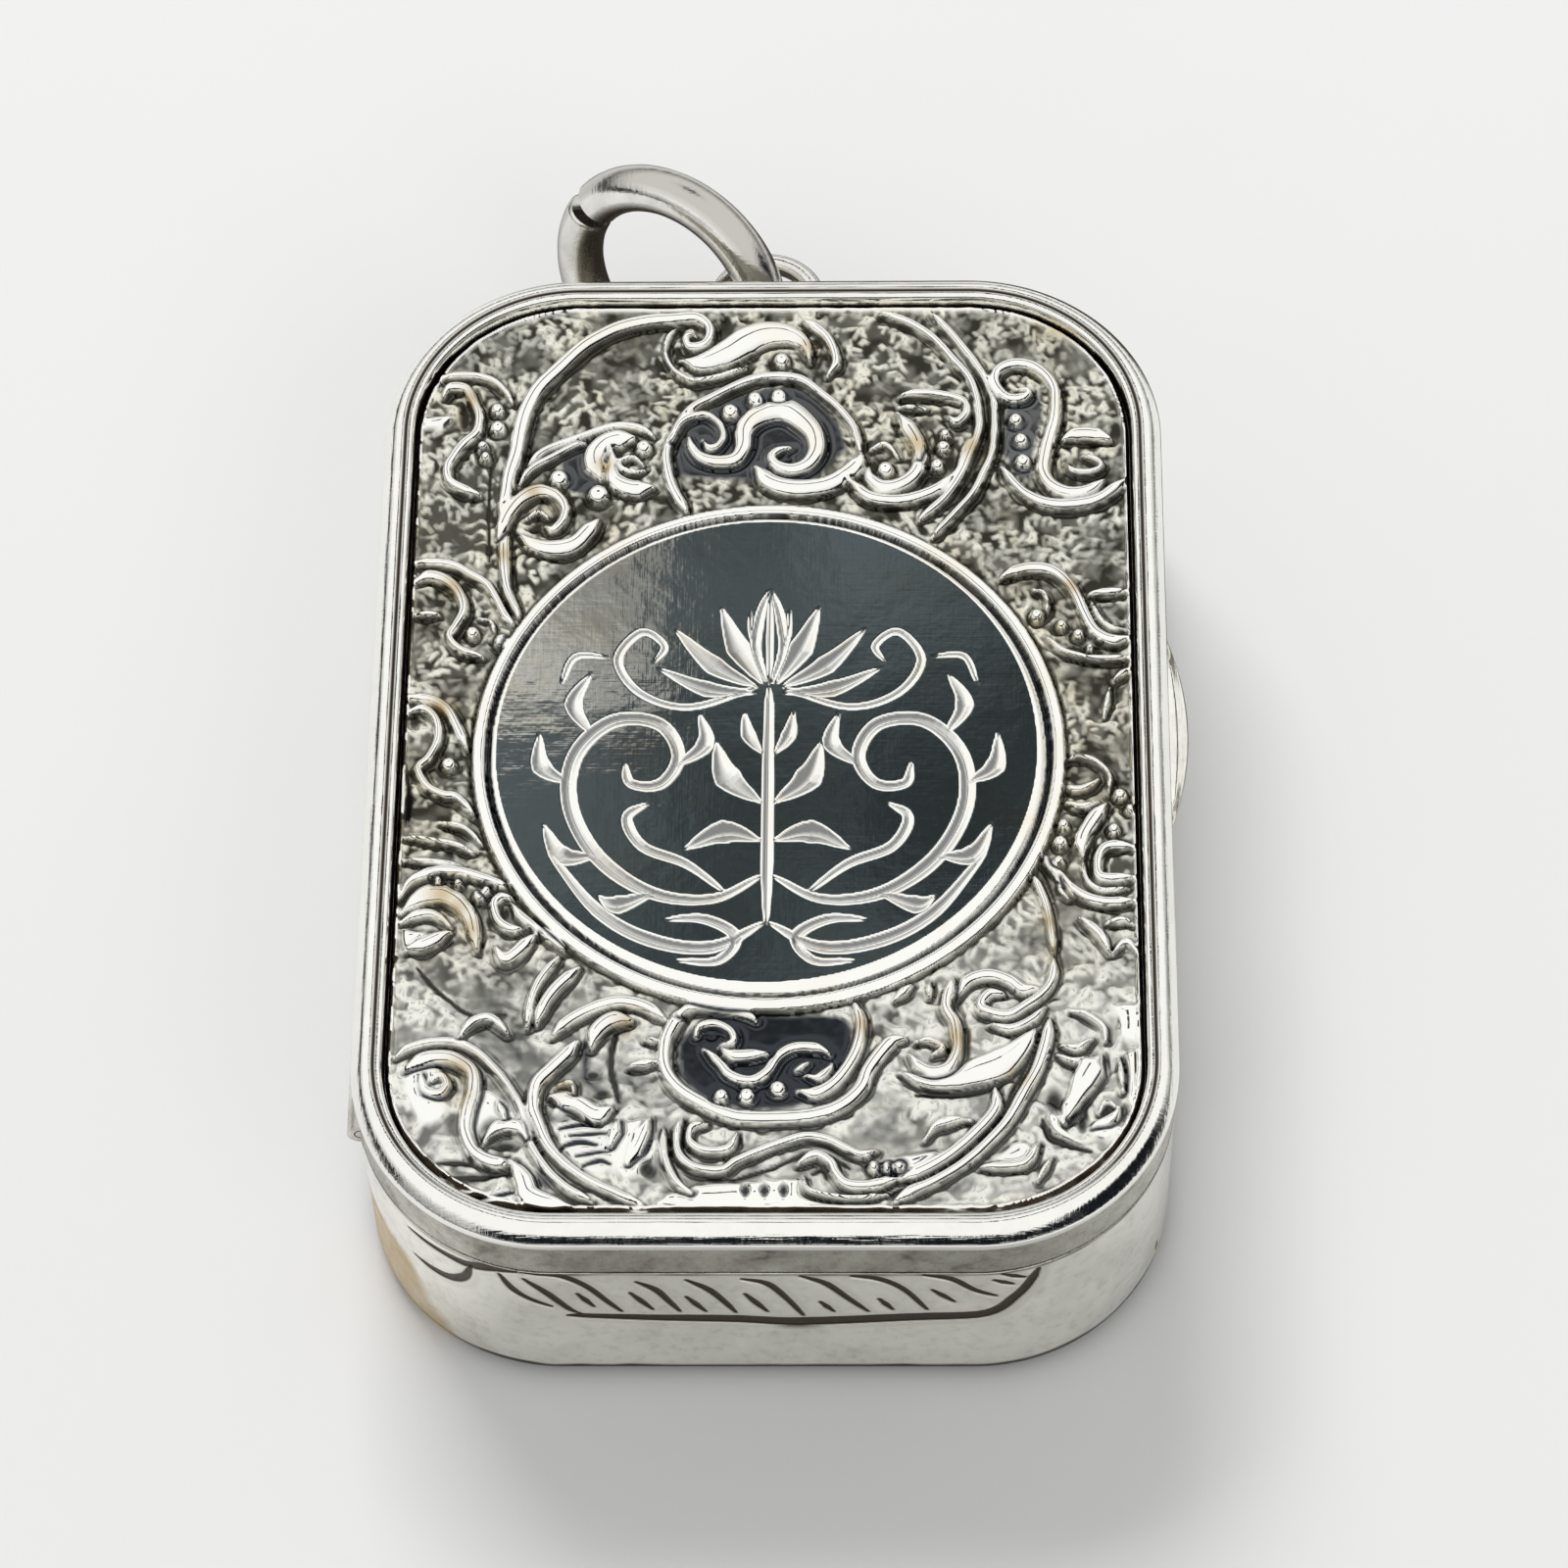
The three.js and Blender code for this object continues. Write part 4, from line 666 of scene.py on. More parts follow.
# The plain spray of leaves on the disc: its stem, and the half that is cut on both sides of it.
STEM = strokes("""
.12/.32/.3/.2 0,-6.1 0,-4 0,-1 0,2.2
.1/.16/.1 0,2.3 0,3.9 0,5.7
""")
SPRAY = strokes("""
.1/.22/.1 .06,2.3 .42,3.6 .3,4.8 .03,5.7
.1/.7/.08 .2,2.3 .95,3.6 1.5,5.1
.1/.6/.08 .35,2.2 1.7,3 2.9,4.3
.1/.5/.06 .4,2 1.9,2.15 3.4,2.9
.14/.44/.42/.34/.2 .15,-4.4 1.6,-5.2 3.4,-5 5,-3.8 5.9,-2 5.8,-.2 4.7,1 3.3,.9 2.7,-.2 3.2,-1.2 4.1,-1.2 4.3,-.5
.1/.55/.1 3.2,-4.9 4.4,-5.4 5,-5.1
.1/.6/.08 5,-3.7 6.1,-3.7 6.7,-2.6
.1/.55/.08 5.9,-1.2 6.8,-.6 6.9,.6
.1/.5/.08 5.3,.5 5.9,1.6 5.4,2.7
.1/.5/.08 2.8,-.6 1.9,.2 2.1,1.3
.1/.75/.08 .15,-3.2 1.3,-2.9 2.5,-3.5
.1/.8/.08 .15,-1.9 1.2,-1 1.6,.3
.08/.4/.06 .15,-.2 .6,.5 .75,1.4
.1/.16/.1 .4,2.2 2.4,1.5 3.9,2 4.6,3.2 3.9,4.2 3.2,3.7 3.5,3.1
.08/.2/.22/.12 1.2,-5 2.4,-4 3.7,-3.4 4.2,-2.4 3.6,-1.9
.1/.26/.3/.26/.1 .05,-6 1.6,-6.85 3.4,-6.6 5,-5.6 6.5,-3.6
.08/.2/.24/.16/.1 3,-5.9 1.8,-5.9 .9,-6.5 1.4,-7.3 2.6,-7.3
.08/.12/.08 4.9,3.3 5.9,3.3 6.3,2.3
.06/.1/.06 .25,3.2 .55,4.1 .6,5
""")


def disc_spray(relief):
    """A plain symmetrical spray of leaves, bright cut into the polished disc. It stands for no letters."""
    for widths, points in STEM:
        relief.bright_cut(widths, [(x, y + DISC_Y) for x, y in points])
    for widths, points in SPRAY:
        fuller = 1.0 if max(widths) >= 0.4 else 1.35
        for side in (1, -1):
            relief.bright_cut([fuller * width for width in widths], [(side * x, y + DISC_Y) for x, y in points])


def paler(y):
    """How far the matting has turned paler, towards the near end."""
    return fall(y, -4, 6)


def matting(relief, rng):
    """The chased ground: short flaky dabs of a punch over a dark uneven bed, paler towards the near end."""
    bed_level, dab_level, dirt = -0.17, -0.08, 0.84
    x, y = relief.x, relief.y
    near = paler(y) * (1 + 0.05 * np.clip(x, -5, 8))
    bed = value_noise(x, y, 0.35, rng)
    flow = math.pi * value_noise(x, y, 3.5, rng)
    relief.height += bed_level + 0.04 * bed
    relief.oxide_and_shade += dirt + 0.14 * bed - 0.24 * near
    broad = value_noise(x, y, 1.1, rng) + 0.5 * value_noise(x, y, 0.55, rng)
    for cx, cy, length, width, strength, turn, lean, roll in zip(
            rng.uniform(x.min(), x.max(), DABS), rng.uniform(y.min(), y.max(), DABS),
            rng.uniform(0.1, 0.25, DABS), rng.uniform(0.055, 0.1, DABS), rng.uniform(0.5, 1, DABS),
            rng.uniform(-1.3, 1.3, DABS), rng.uniform(-0.05, 0.05, DABS), rng.uniform(-0.045, 0.045, DABS)):
        pale = paler(cy)
        length, width = length * (1 + 0.4 * pale), width * (1 + 0.2 * pale)
        win = relief.around(cx, cy, 1.5 * length)
        angle = flow[win][0, 0] + turn
        dx, dy = relief.x[win] - cx, relief.y[win] - cy
        u = (dx * math.cos(angle) + dy * math.sin(angle)) / length
        v = (dy * math.cos(angle) - dx * math.sin(angle)) / width
        strength *= min(max(0.68 + 0.02 * cx * pale + 0.8 * broad[win][0, 0], 0.1), 1)
        cover = strength * np.exp(-u ** 6 - v ** 4)
        level = dab_level + lean * np.clip(u, -1, 1) + roll * np.clip(v, -1, 1)
        relief.height[win] = relief.height[win] * (1 - cover) + level * cover
        relief.oxide_and_shade[win] *= 1 - 0.95 * cover
    relief.oxide_and_shade = np.clip(relief.oxide_and_shade, 0, 0.88)


def softened(field):
    """The field with each value blended a little with those beside it."""
    field = field.copy()
    field[1:-1] = (field[:-2] + 2 * field[1:-1] + field[2:]) / 4
    field[:, 1:-1] = (field[:, :-2] + 2 * field[:, 1:-1] + field[:, 2:]) / 4
    return field


def warm_patches(x, y):
    """Where a brownish bloom lies over the silver."""
    warm = np.zeros(len(x))
    for cx, cy, reach in WARM:
        warm = np.maximum(warm, bell(np.hypot(x - cx, y - cy), reach))
    return warm


def scrollwork(relief, rng):
    """Fields, hollows, grooves, ribs, buds and beads over the matting."""
    x, y = relief.x, relief.y
    for numbers, points in FIELDS:
        lay = relief.shaded_field if len(numbers) == 1 else relief.smooth_field
        lay(points, *numbers)
    unevenness = 0.05 * value_noise(x, y, 0.6, rng) + 0.012 * value_noise(x, y, 0.2, rng)
    relief.height += (0.35 + 0.65 * relief.ground) * unevenness
    for hollow in POCKETS:
        relief.pocket(*hollow)
    for widths, points in GROOVES:
        relief.groove(widths, points)
    for widths, points in RIBS:
        # Those of the near end are fuller and get less painted shade, as the light reaches over them.
        fuller, shade = (1.12, 0.26) if points[0][1] < -5 else (1.0, 0.5)
        relief.rib([fuller * width for width in widths], points, shade)
    for widths, points in BUDS:
        relief.rib(widths, points, shade=0.3, sharp=1.3)
    for cx, cy, radius in BEADS:
        relief.bead(cx, cy, 0.92 * radius)
    relief.height = softened(relief.height)


def cartouche(relief):
    """The disc with its bevelled edge, the groove round it and the rib and fine line outside that."""
    x, y = relief.x, relief.y - DISC_Y
    far = np.hypot(x, y)
    groove = bell(far - RING_GROOVE, 0.095)
    line = bell(far - RING_LINE, 0.08)
    rib = rise(far, RING_RIB[0], 0.07) * fall(far, RING_RIB[1], 0.08)
    crest = 0.12 * rise(far, RING_RIB[0] + 0.01, 0.09) - 0.24 * np.clip(far - RING_RIB[0] - 0.1, 0, 0.4)
    ring = crest * rib + (relief.height - 0.1 * line) * (1 - rib) - 0.22 * groove
    bevel = 0.19 + 0.12 * np.cos(np.arctan2(y, x) + 1)
    disc = 0.07 - 0.9 * np.clip(far - DISC_RADIUS + bevel, 0, 0.36) ** 1.25
    relief.height = np.where(far < DISC_RADIUS, disc, np.where(far < RING_END, ring, relief.height))
    oxide_and_shade = np.where(far < RING_END, np.maximum(relief.oxide_and_shade, 0.95 * line) * (1 - rib), relief.oxide_and_shade)
    relief.oxide_and_shade = np.maximum(np.where(far < DISC_RADIUS - 0.03, 0, oxide_and_shade), groove)
    relief.ground = np.where(far < RING_RIB[1] - 0.05, 0, relief.ground)
    disc_spray(relief)


def chased_panel():
    """The lid's panel as a height map, and how far its points lie inside the box's edge."""
    reach_x, reach_y = HALF_WIDTH - PANEL_INSET, HALF_LENGTH - PANEL_INSET
    relief = Relief(np.arange(-reach_x - PITCH, reach_x + 1.5 * PITCH, PITCH),
                    np.arange(-reach_y - PITCH, reach_y + 1.5 * PITCH, PITCH))
    rng = np.random.default_rng(11)
    matting(relief, rng)
    scrollwork(relief, rng)
    cartouche(relief)
    # The panel turns down into the seat beside the moulding, behind a narrow lip.
    inset = inset_at(relief.x, relief.y)
    reach = 0.05 + 0.08 * fall(relief.y, -END_FROM, 2)
    past = np.maximum(inset - PANEL_INSET, 0)
    edge = bell(past, reach)
    lip = bell(past - 0.05 - 1.7 * reach, 0.07)
    relief.height = np.maximum(relief.height * (1 - 0.7 * lip) + 0.04 * lip - 0.12 * edge, -0.3)
    relief.oxide_and_shade = np.clip(np.maximum(relief.oxide_and_shade * (1 - lip), edge), 0, 1)
    relief.ground *= 1 - lip
    return relief, inset


def lid_panel(materials):
    """The relief as a closed sheet: its face, a skirt down its edge and a plain back."""
    relief, inset = chased_panel()
    x, y = relief.x, relief.y
    kept = inset >= PANEL_INSET
    spread = kept.copy()
    spread[1:] |= kept[:-1]
    spread[:-1] |= kept[1:]
    spread[:, 1:] |= spread[:, :-1]
    spread[:, :-1] |= spread[:, 1:]
    # Points just outside the panel's outline move onto it.
    moved = spread & ~kept
    step = 1e-3
    for _ in range(3):
        gx = (inset_at(x + step, y) - inset_at(x - step, y)) / (2 * step)
        gy = (inset_at(x, y + step) - inset_at(x, y - step)) / (2 * step)
        short = PANEL_INSET - inset_at(x, y)
        x, y = np.where(moved, x + short * gx, x), np.where(moved, y + short * gy, y)
    quads = grid_faces(*x.shape)
    quads = quads[spread.ravel()[quads].all(1)][:, ::-1]
    used, quads = np.unique(quads, return_inverse=True)
    quads = quads.reshape(-1, 4)
    top = np.stack([values.ravel()[used] for values in (x, y, PANEL_GROUND + relief.height)], -1)
    edges = np.concatenate([quads[:, [k, (k + 1) % 4]] for k in range(4)])
    forward = {(a, b) for a, b in edges.tolist()}
    rim = {a: b for a, b in forward if (b, a) not in forward}
    first = next(iter(rim))
    loop = [first]
    while rim[loop[-1]] != first:
        loop.append(rim[loop[-1]])
    base = top[loop]
    base[:, 2] = BAND_TOP
    points = np.vstack([top, base, [[0, 0, BAND_TOP]]])
    low = len(top) + np.arange(len(loop))
    skirt = np.stack([np.roll(loop, -1), loop, low, np.roll(low, -1)], -1)
    back = np.stack([np.roll(low, -1), low, np.full(len(low), len(points) - 1)], -1)
    marks = {
        "oxide_and_shade": np.concatenate([relief.oxide_and_shade.ravel()[used], np.full(len(base), 0.6), [0.2]]),
        "ground": np.concatenate([relief.ground.ravel()[used], np.zeros(len(base) + 1)]),
        "pale": paler(points[:, 1]),
        "warm": warm_patches(points[:, 0], points[:, 1]),
    }
    return make_piece("lid_panel_chased", points, [(quads, 0), (skirt, 0), (back, 1)], "lid",
                      materials, ["lid_panel"], angle=80, marks=marks)


# ---------------------------------------------------------------- the moulding, band, wall and base

# The moulding's section, a round crest with a small bead inside it: inset, and height over the band.
MOULDING = [
    (0.92, 0), (-0.02, 0), (-0.04, 0.06), (-0.05, 0.1), (-0.05, 0.28), (-0.044, 0.31), (-0.02, 0.35), (0.02, 0.4),
    (0.06, 0.448), (0.1, 0.495), (0.15, 0.55), (0.2, 0.6), (0.25, 0.643), (0.31, 0.685), (0.37, 0.715), (0.43, 0.736),
    (0.49, 0.745), (0.54, 0.74), (0.58, 0.725), (0.62, 0.712), (0.66, 0.715), (0.7, 0.72), (0.75, 0.718), (0.8, 0.7),
    (0.83, 0.675), (0.86, 0.63), (0.88, 0.56), (0.9, 0.4), (0.92, 0.2),
]


def lid_rim(material):
    """The lid's moulding, with dirt in its inner groove and in the lines scribed round it, and a painted dark line at
    the near end.
    """
    s = stations(corner=44, straight=24)
    inset, height = np.array(MOULDING).T
    far_end = rise(edge_points(s)[0][:, 1:], END_FROM, 2)
    groove = np.where((inset > 0.87) & (height < 0.57 - 0.2 * far_end), 1.0, 0.0)
    scribed = 0.85 * bell(inset - 0.62, 0.07)
    # A painted reflection: a dark line beside the scribed one.
    painted_dark_line = 0.42 * bell(inset - 0.74, 0.06)
    # The scribed line is worn at the near end, where the light shows another beside it; that other line is painted
    # there as a dark line, a painted reflection.
    sides = np.maximum(rise(np.minimum(s, PERIMETER - s), 7, 5), 0.25)[:, None]
    oxide_and_shade = groove + scribed * sides + painted_dark_line * (1 - sides)
    faces = grid_faces(len(s), len(MOULDING), True, True, flip=True)
    points = swept(s, np.stack([inset, BAND_TOP + height], -1))
    return make_piece("lid_moulding", points, [(faces, 0)], "lid", [material], ["lid_rim"], angle=50,
                      marks={"oxide_and_shade": np.clip(oxide_and_shade, 0, 1)})


def lid_band(outer, inner):
    """The lid's side band and the flange that the panel sits on, gilt inside."""
    flange, shoulder, foot = BAND_TOP - 0.35, BAND_TOP - 0.05, BAND_BOTTOM + 0.1
    section = [(1.6, flange), (1.6, BAND_TOP), (0.0, BAND_TOP)]
    section += [(0.0, z) for z in np.linspace(shoulder, foot, 16)]
    section += [(0.02, BAND_BOTTOM + 0.03), (0.05, BAND_BOTTOM)]
    section += [(i, BAND_BOTTOM) for i in np.linspace(0.1, BAND, 8)]
    gilt_from = len(section) - 2
    section += [(BAND, z) for z in np.linspace(foot, flange, 8)]
    s = stations(corner=40, straight=12, notch=True)
    points = cut_notch(swept(s, section), below=False)
    faces = grid_faces(len(s), len(section), True, True)
    column = np.tile(np.arange(len(section)), len(s))
    inside = (column >= gilt_from) | (column == 0)
    return make_piece("lid_side_band", points, [(faces[~inside], 0), (faces[inside], 1)], "lid",
                      [outer, inner], ["lid_band"], angle=35)


# The engraving on the near end: lengths along the edge from its middle, and heights.
END_CUTS = strokes("""
.2/.42/.5/.42/.34/.24 -5.76,3.83 -3.3,3.68 -.87,3.6 1.02,3.44 4.29,3.72 6.43,3.95 7.31,4.87 7.71,5.57 7.97,6.3
.1/.3/.4/.22 -10.87,5.91 -9.44,5.99 -8.68,6.03 -7.93,6.34 -7.2,6.45
.1/.3/.3/.1 -10.78,4.33 -10.1,4.35 -9.35,4.57 -8.84,5.13 -8.58,5.98
.1/.2/.14/.08 -6.9,6.5 -5.93,6.4 -5.18,5.75 -4.58,4.73 -4.2,4.09
.1/.2/.14/.08 -6.96,6.06 -6.34,5.29 -5.74,4.28 -5.44,3.96
.1/.2/.14/.08 -7.69,6.08 -7.32,5.3 -6.86,4.82 -6.22,4.41
.1/.2/.14/.08 -3.7,6 -3.15,5.49 -2.78,4.73 -2.49,4.09
.1/.2/.14/.08 -2.25,6.13 -1.61,5.5 -1.15,4.67 -.86,4.02
.1/.2/.14/.08 -.63,6.19 .1,5.88 .65,4.92 1.11,3.83
.1/.2/.14/.08 1.07,6.38 1.8,5.88 2.44,4.92 3,4.09
.1/.2/.14/.08 2.54,6.38 3.33,6.19 4.06,5.5 4.72,4.22
.1/.2/.14/.08 4.63,6.45 5.42,6.19 6.08,5.5 6.73,5.05
.08/.15/.08 -5.44,5.24 -4.99,4.41
.08/.15/.08 -3.9,5.3 -3.28,4.22
.08/.15/.08 -2.28,5.05 -1.74,4.09
.08/.15/.08 -.57,5.24 .06,4.09
.08/.15/.08 1.61,4.73 2,4.09
.08/.15/.08 3.32,4.92 3.72,4.22
.08/.15/.08 4.86,5.5 5.51,4.73
.08/.15/.08 6.64,6.08 7.22,5.67
.08/.15/.08 6.9,6.4 7.56,5.96
""")


def wall_stain(along, height):
    """The ochre patch of old lacquer on the rounded corner left of the near end."""
    begins, ends, top, slant = -14.2, -9.0, 4.2, 0.55
    rng = np.random.default_rng(8)
    ragged = 0.5 * value_noise(along, height, 0.8, rng) + 0.25 * value_noise(along, height, 0.3, rng)
    edge = np.minimum(ends - slant * height - along, np.minimum(along - begins, top - height))
    return np.clip(edge / 0.5 + 0.8 * ragged, 0, 1) * np.clip(0.8 + 0.4 * ragged, 0.5, 1)


def end_engraving(along, heights):
    """The wall's outer face round the near end as a height map, with its engraving and a darker band along its top,
    under the lid.
    """
    relief = Relief(along, heights)
    for widths, points in END_CUTS:
        # a faint wide shadow, a little aside
        relief.groove([2.5 * width for width in widths], [(x + 0.16, y - 0.02) for x, y in points], cut=0.006,
                      oxide_and_shade=0.2, edge=0.26)
    for widths, points in END_CUTS:
        relief.groove([1.4 * width for width in widths], points, cut=0.05, oxide_and_shade=1.0, edge=0.06)
    # Darker along the top of the wall, under the lid's band.
    darker_under_lid = 0.7 + 0.25 * value_noise(relief.x, relief.y, 0.9, np.random.default_rng(3))
    relief.oxide_and_shade += np.clip(darker_under_lid * bell(WALL_TOP - relief.y, 0.14), 0, 1)
    relief.pocket(13.2, 0.95, 0.14, 0.3, depth=0.02, oxide_and_shade=1.0)
    return relief


def case_wall(outer, inner):
    """The case's wall, with the engraved spray on its near end and gilt on its inner face."""
    plain_to, eased = FLOOR_TOP + 2.5, 0.006
    rises = np.concatenate([np.linspace(FLOOR_TOP, plain_to, 10)[:-1], np.arange(plain_to, WALL_TOP - 0.02, 0.045)])
    section = [(0.0, z) for z in rises] + [(0.0, WALL_TOP - eased), (eased, WALL_TOP)]
    section += [(i, WALL_TOP) for i in np.linspace(0.12, WALL, 8)]
    gilt_from = len(section) - 4
    section += [(WALL, z) for z in np.linspace(WALL_TOP - 0.08, FLOOR_TOP, 14)]
    s = stations(corner=40, straight=12, near=(14.6, 0.06), notch=True)
    along = np.where(s > PERIMETER / 2, s - PERIMETER, s)
    order = np.argsort(along)
    relief = end_engraving(along[order], rises)
    push, oxide_and_shade, stain = np.zeros((3, len(s), len(section)))
    for field, values in ((push, relief.height), (oxide_and_shade, relief.oxide_and_shade), (stain, wall_stain(relief.x, relief.y))):
        field[order, :len(rises)] = values
    points = cut_notch(swept(s, section, push), below=True)
    faces = grid_faces(len(s), len(section), True, True, flip=True)
    inside = np.tile(np.arange(len(section)), len(s)) >= gilt_from
    return make_piece("case_wall_engraved", points, [(faces[~inside], 0), (faces[inside], 1)], "case",
                      [outer, inner], ["case_wall"], angle=35, marks={"oxide_and_shade": oxide_and_shade, "stain": stain})


def painted_contact_shade(points):
    """Painted shade along the lower edge, where it meets the floor."""
    ragged = value_noise(points[:, 0], points[:, 1], 0.8, np.random.default_rng(4))
    low = fall(points[:, 2], 0.76 + 0.05 * ragged, 0.25)
    outer = np.abs(inset_at(points[:, 0], points[:, 1])) < WALL + 0.02
    return 0.95 * low * outer


def base_stain(points):
    """The wall's ochre patch where it runs on over the floor's rounded edge."""
    turn = np.arctan2(points[:, 1] + SIDE_Y, points[:, 0] + SIDE_X)
    along = -SIDE_X - CORNER * (-math.pi / 2 - turn)
    corner = (points[:, 0] < -SIDE_X) & (points[:, 1] < -SIDE_Y) & (inset_at(points[:, 0], points[:, 1]) < WALL + 0.1)
    return wall_stain(along, points[:, 2]) * corner


def base_plate(outer, inner):
    """The floor with its rounded edge."""
    middle = CORNER * 0.97
    section = [(middle, 0.0), (3.0, 0.0), (WALL + 0.02, 0.0)]
    section += [(WALL - WALL * math.sin(angle), WALL - WALL * math.cos(angle))
                for angle in np.linspace(0.1, math.pi / 2, 22)]
    section += [(0.0, FLOOR_TOP), (WALL, FLOOR_TOP), (3.0, FLOOR_TOP), (middle, FLOOR_TOP)]
    s = stations(corner=40, straight=12)
    points, faces, bottom, top = closed_block(swept(s, section), (0, 0, 0), (0, 0, FLOOR_TOP))
    inside = np.tile(np.arange(len(section) - 1), len(s)) >= len(section) - 4
    return make_piece("case_floor", points, [(faces[~inside], 0), (bottom, 0), (faces[inside], 1), (top, 1)], "case",
                      [outer, inner], ["base_plate"], angle=35,
                      marks={"oxide_and_shade": painted_contact_shade(points), "stain": base_stain(points)})


# ---------------------------------------------------------------- wires

def wire(name, line, radius, body, materials, replaces, softened_ends=True, marks=None):
    """A round wire along a line of points. Its last end has the last of the materials."""
    line = np.asarray(line, float)
    tangent = np.gradient(line, axis=0)
    tangent /= np.linalg.norm(tangent, axis=1)[:, None]
    # any direction across the line's start will do
    normal = np.cross(tangent[0], (0.31, 0.52, 0.79))
    turn = np.linspace(0, 2 * math.pi, 28, endpoint=False)[:, None]
    rings = []
    for at, ahead in zip(line, tangent):
        normal = normal - ahead * (normal @ ahead)
        normal /= np.linalg.norm(normal)
        rings.append(at + radius * (np.cos(turn) * normal + np.sin(turn) * np.cross(ahead, normal)))
    rings = np.array(rings)
    if softened_ends:
        first = line[0] + 0.9 * (rings[0] - line[0])
        last = line[-2] + 0.9 * (rings[-2] - line[-2])
        rings[0] += 0.12 * radius * tangent[0]
        rings[-2] -= 0.12 * radius * tangent[-2]
        rings = np.concatenate([[first], rings, [last]])
    points, sides, first_end, last_end = closed_tube(rings, line[0], line[-1])
    return make_piece(name, points, [(sides, 0), (first_end, 0), (last_end, len(materials) - 1)], body,
                      materials, replaces, angle=50, marks=marks and marks(points))


def jump_ring(materials):
    """The split ring that hangs in the case's loop."""
    centre = np.round(np.mean(measured("jump_ring"), 0), 2)
    reach, thick, gap = 3.59, 0.755, 0.54
    normal = np.array([-0.52, -0.81, 0.27])
    normal /= np.linalg.norm(normal)
    toward = np.array([-2.5, 2.09, 1.45])
    toward -= normal * (toward @ normal)
    toward /= np.linalg.norm(toward)
    margin = gap / 2 / reach
    angle = np.linspace(margin, 2 * math.pi - margin, 140)[:, None]
    line = centre + reach * (np.cos(angle) * toward + np.sin(angle) * np.cross(normal, toward))

    def painted_dark_sides(points):
        """The inner face and the outer edge are painted dark: painted reflection of the darker surroundings, over
        tarnish where nothing rubs.
        """
        away = points - centre
        away -= (away @ normal)[:, None] * normal
        outward = (np.linalg.norm(away, axis=1) - reach) / thick
        return {"oxide_and_shade": 0.4 * rise(outward, 0.35, 0.25) + 0.66 * fall(outward, -0.2, 0.3)}

    return wire("jump_ring_wire", line, thick, "ring", materials, ["jump_ring"], marks=painted_dark_sides)


def suspension_loop(material):
    """The fixed loop on the far end."""
    low, high = measured("suspension_loop")
    centre_x, centre_z = round((low[0] + high[0]) / 2, 3), round((low[2] + high[2]) / 2, 3)
    radius = round((high[2] - low[2]) / 2, 3)
    bend, leg = 1.55, np.linspace(-0.12, 1.25, 8)
    left = [(-bend, run, 0) for run in leg[:-1]]
    arc = [(bend * math.cos(angle), leg[-1] + bend * math.sin(angle), 0) for angle in np.linspace(math.pi, 0, 40)]
    right = [(bend, run, 0) for run in leg[:-1][::-1]]
    line = np.array(left + arc + right) + np.array([centre_x, HALF_LENGTH, centre_z])
    line[:, 1] = np.maximum(line[:, 1], HALF_LENGTH)
    return wire("suspension_loop_wire", line[1:-1], radius, "case", [material], ["suspension_loop"],
                softened_ends=False)


def thumbpiece(material):
    """The crescent lip for a thumbnail."""
    low, high = measured("thumbpiece")
    bottom, top, middle = low[2], high[2], (low[1] + high[1]) / 2
    depth, length = high[0] - low[0], high[1] - low[1]
    rows = []
    for along in np.linspace(-0.5, 0.5, 48):
        reach = depth * max(math.cos(math.pi * along), 0.05) ** 0.8
        section = [(0, bottom), (0.3, bottom + 0.02), (0.55, bottom + 0.06), (0.8, bottom + 0.14),
                   (0.95, bottom + 0.22), (1, bottom + 0.31), (0.99, top - 0.06), (0.93, top), (0.82, top - 0.02),
                   (0.62, top - 0.09), (0.4, top - 0.1), (0.15, top - 0.04), (0, top)]
        rows.append([(HALF_WIDTH - 0.02 + out * reach, middle + along * length, height) for out, height in section])
    rows = np.array(rows)
    points, sides, first, last = closed_tube(rows, rows[0].mean(0), rows[-1].mean(0))
    return make_piece("thumb_lip", points, [(sides, 0), (first, 0), (last, 0)], "lid", [material],
                      ["thumbpiece"], angle=40)


# ---------------------------------------------------------------- the sponge

def sponge(material):
    """A block of fine sponge cut to the compartment, its faces broken by open cells."""
    inset, low, high, soft, step = 2.2, 0.95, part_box("sponge")[1].z / MM, 0.9, 0.25
    rng = np.random.default_rng(5)
    quarter = np.linspace(0, math.pi / 2, 8)
    section = [(inset + soft * (1 - math.sin(angle)), low + soft * (1 - math.cos(angle))) for angle in quarter]
    section += [(inset, z) for z in np.arange(low + soft + step, high - soft, step)]
    section += [(inset + soft * (1 - math.cos(angle)), high - soft * (1 - math.sin(angle))) for angle in quarter]
    s = stations(corner=30, straight=40)
    side = swept(s, section)
    shell = np.concatenate([side, *(side[:, -1:] * np.array([1 - depth, 1 - depth, 1])
                                    for depth in np.linspace(0, 1, 26)[1:-1])], 1)
    normal = (shell - np.array([0, 0, (low + high) / 2])) * np.array([0.35, 0.35, 1])
    normal[:, len(section) - 2:] = (0, 0, 1)
    normal /= np.linalg.norm(normal, axis=2)[..., None]
    x, y, z = shell[..., 0], shell[..., 1], shell[..., 2]
    coarse = value_noise(x + 0.4 * z, y + 0.3 * z, 0.9, rng)
    fine = value_noise(x - 0.5 * z, y + 0.6 * z, 0.42, rng)
    shell -= normal * (0.14 + 0.12 * coarse + 0.12 * fine)[..., None]
    points, faces, bottom, top = closed_block(shell, (0, 0, low), (0, 0, high - 0.12))
    piece = make_piece("sponge_pad", points, [(faces, 0), (bottom, 0), (top, 0)], "case", [material],
                       ["sponge"], angle=180)
    return piece


# ---------------------------------------------------------------- materials

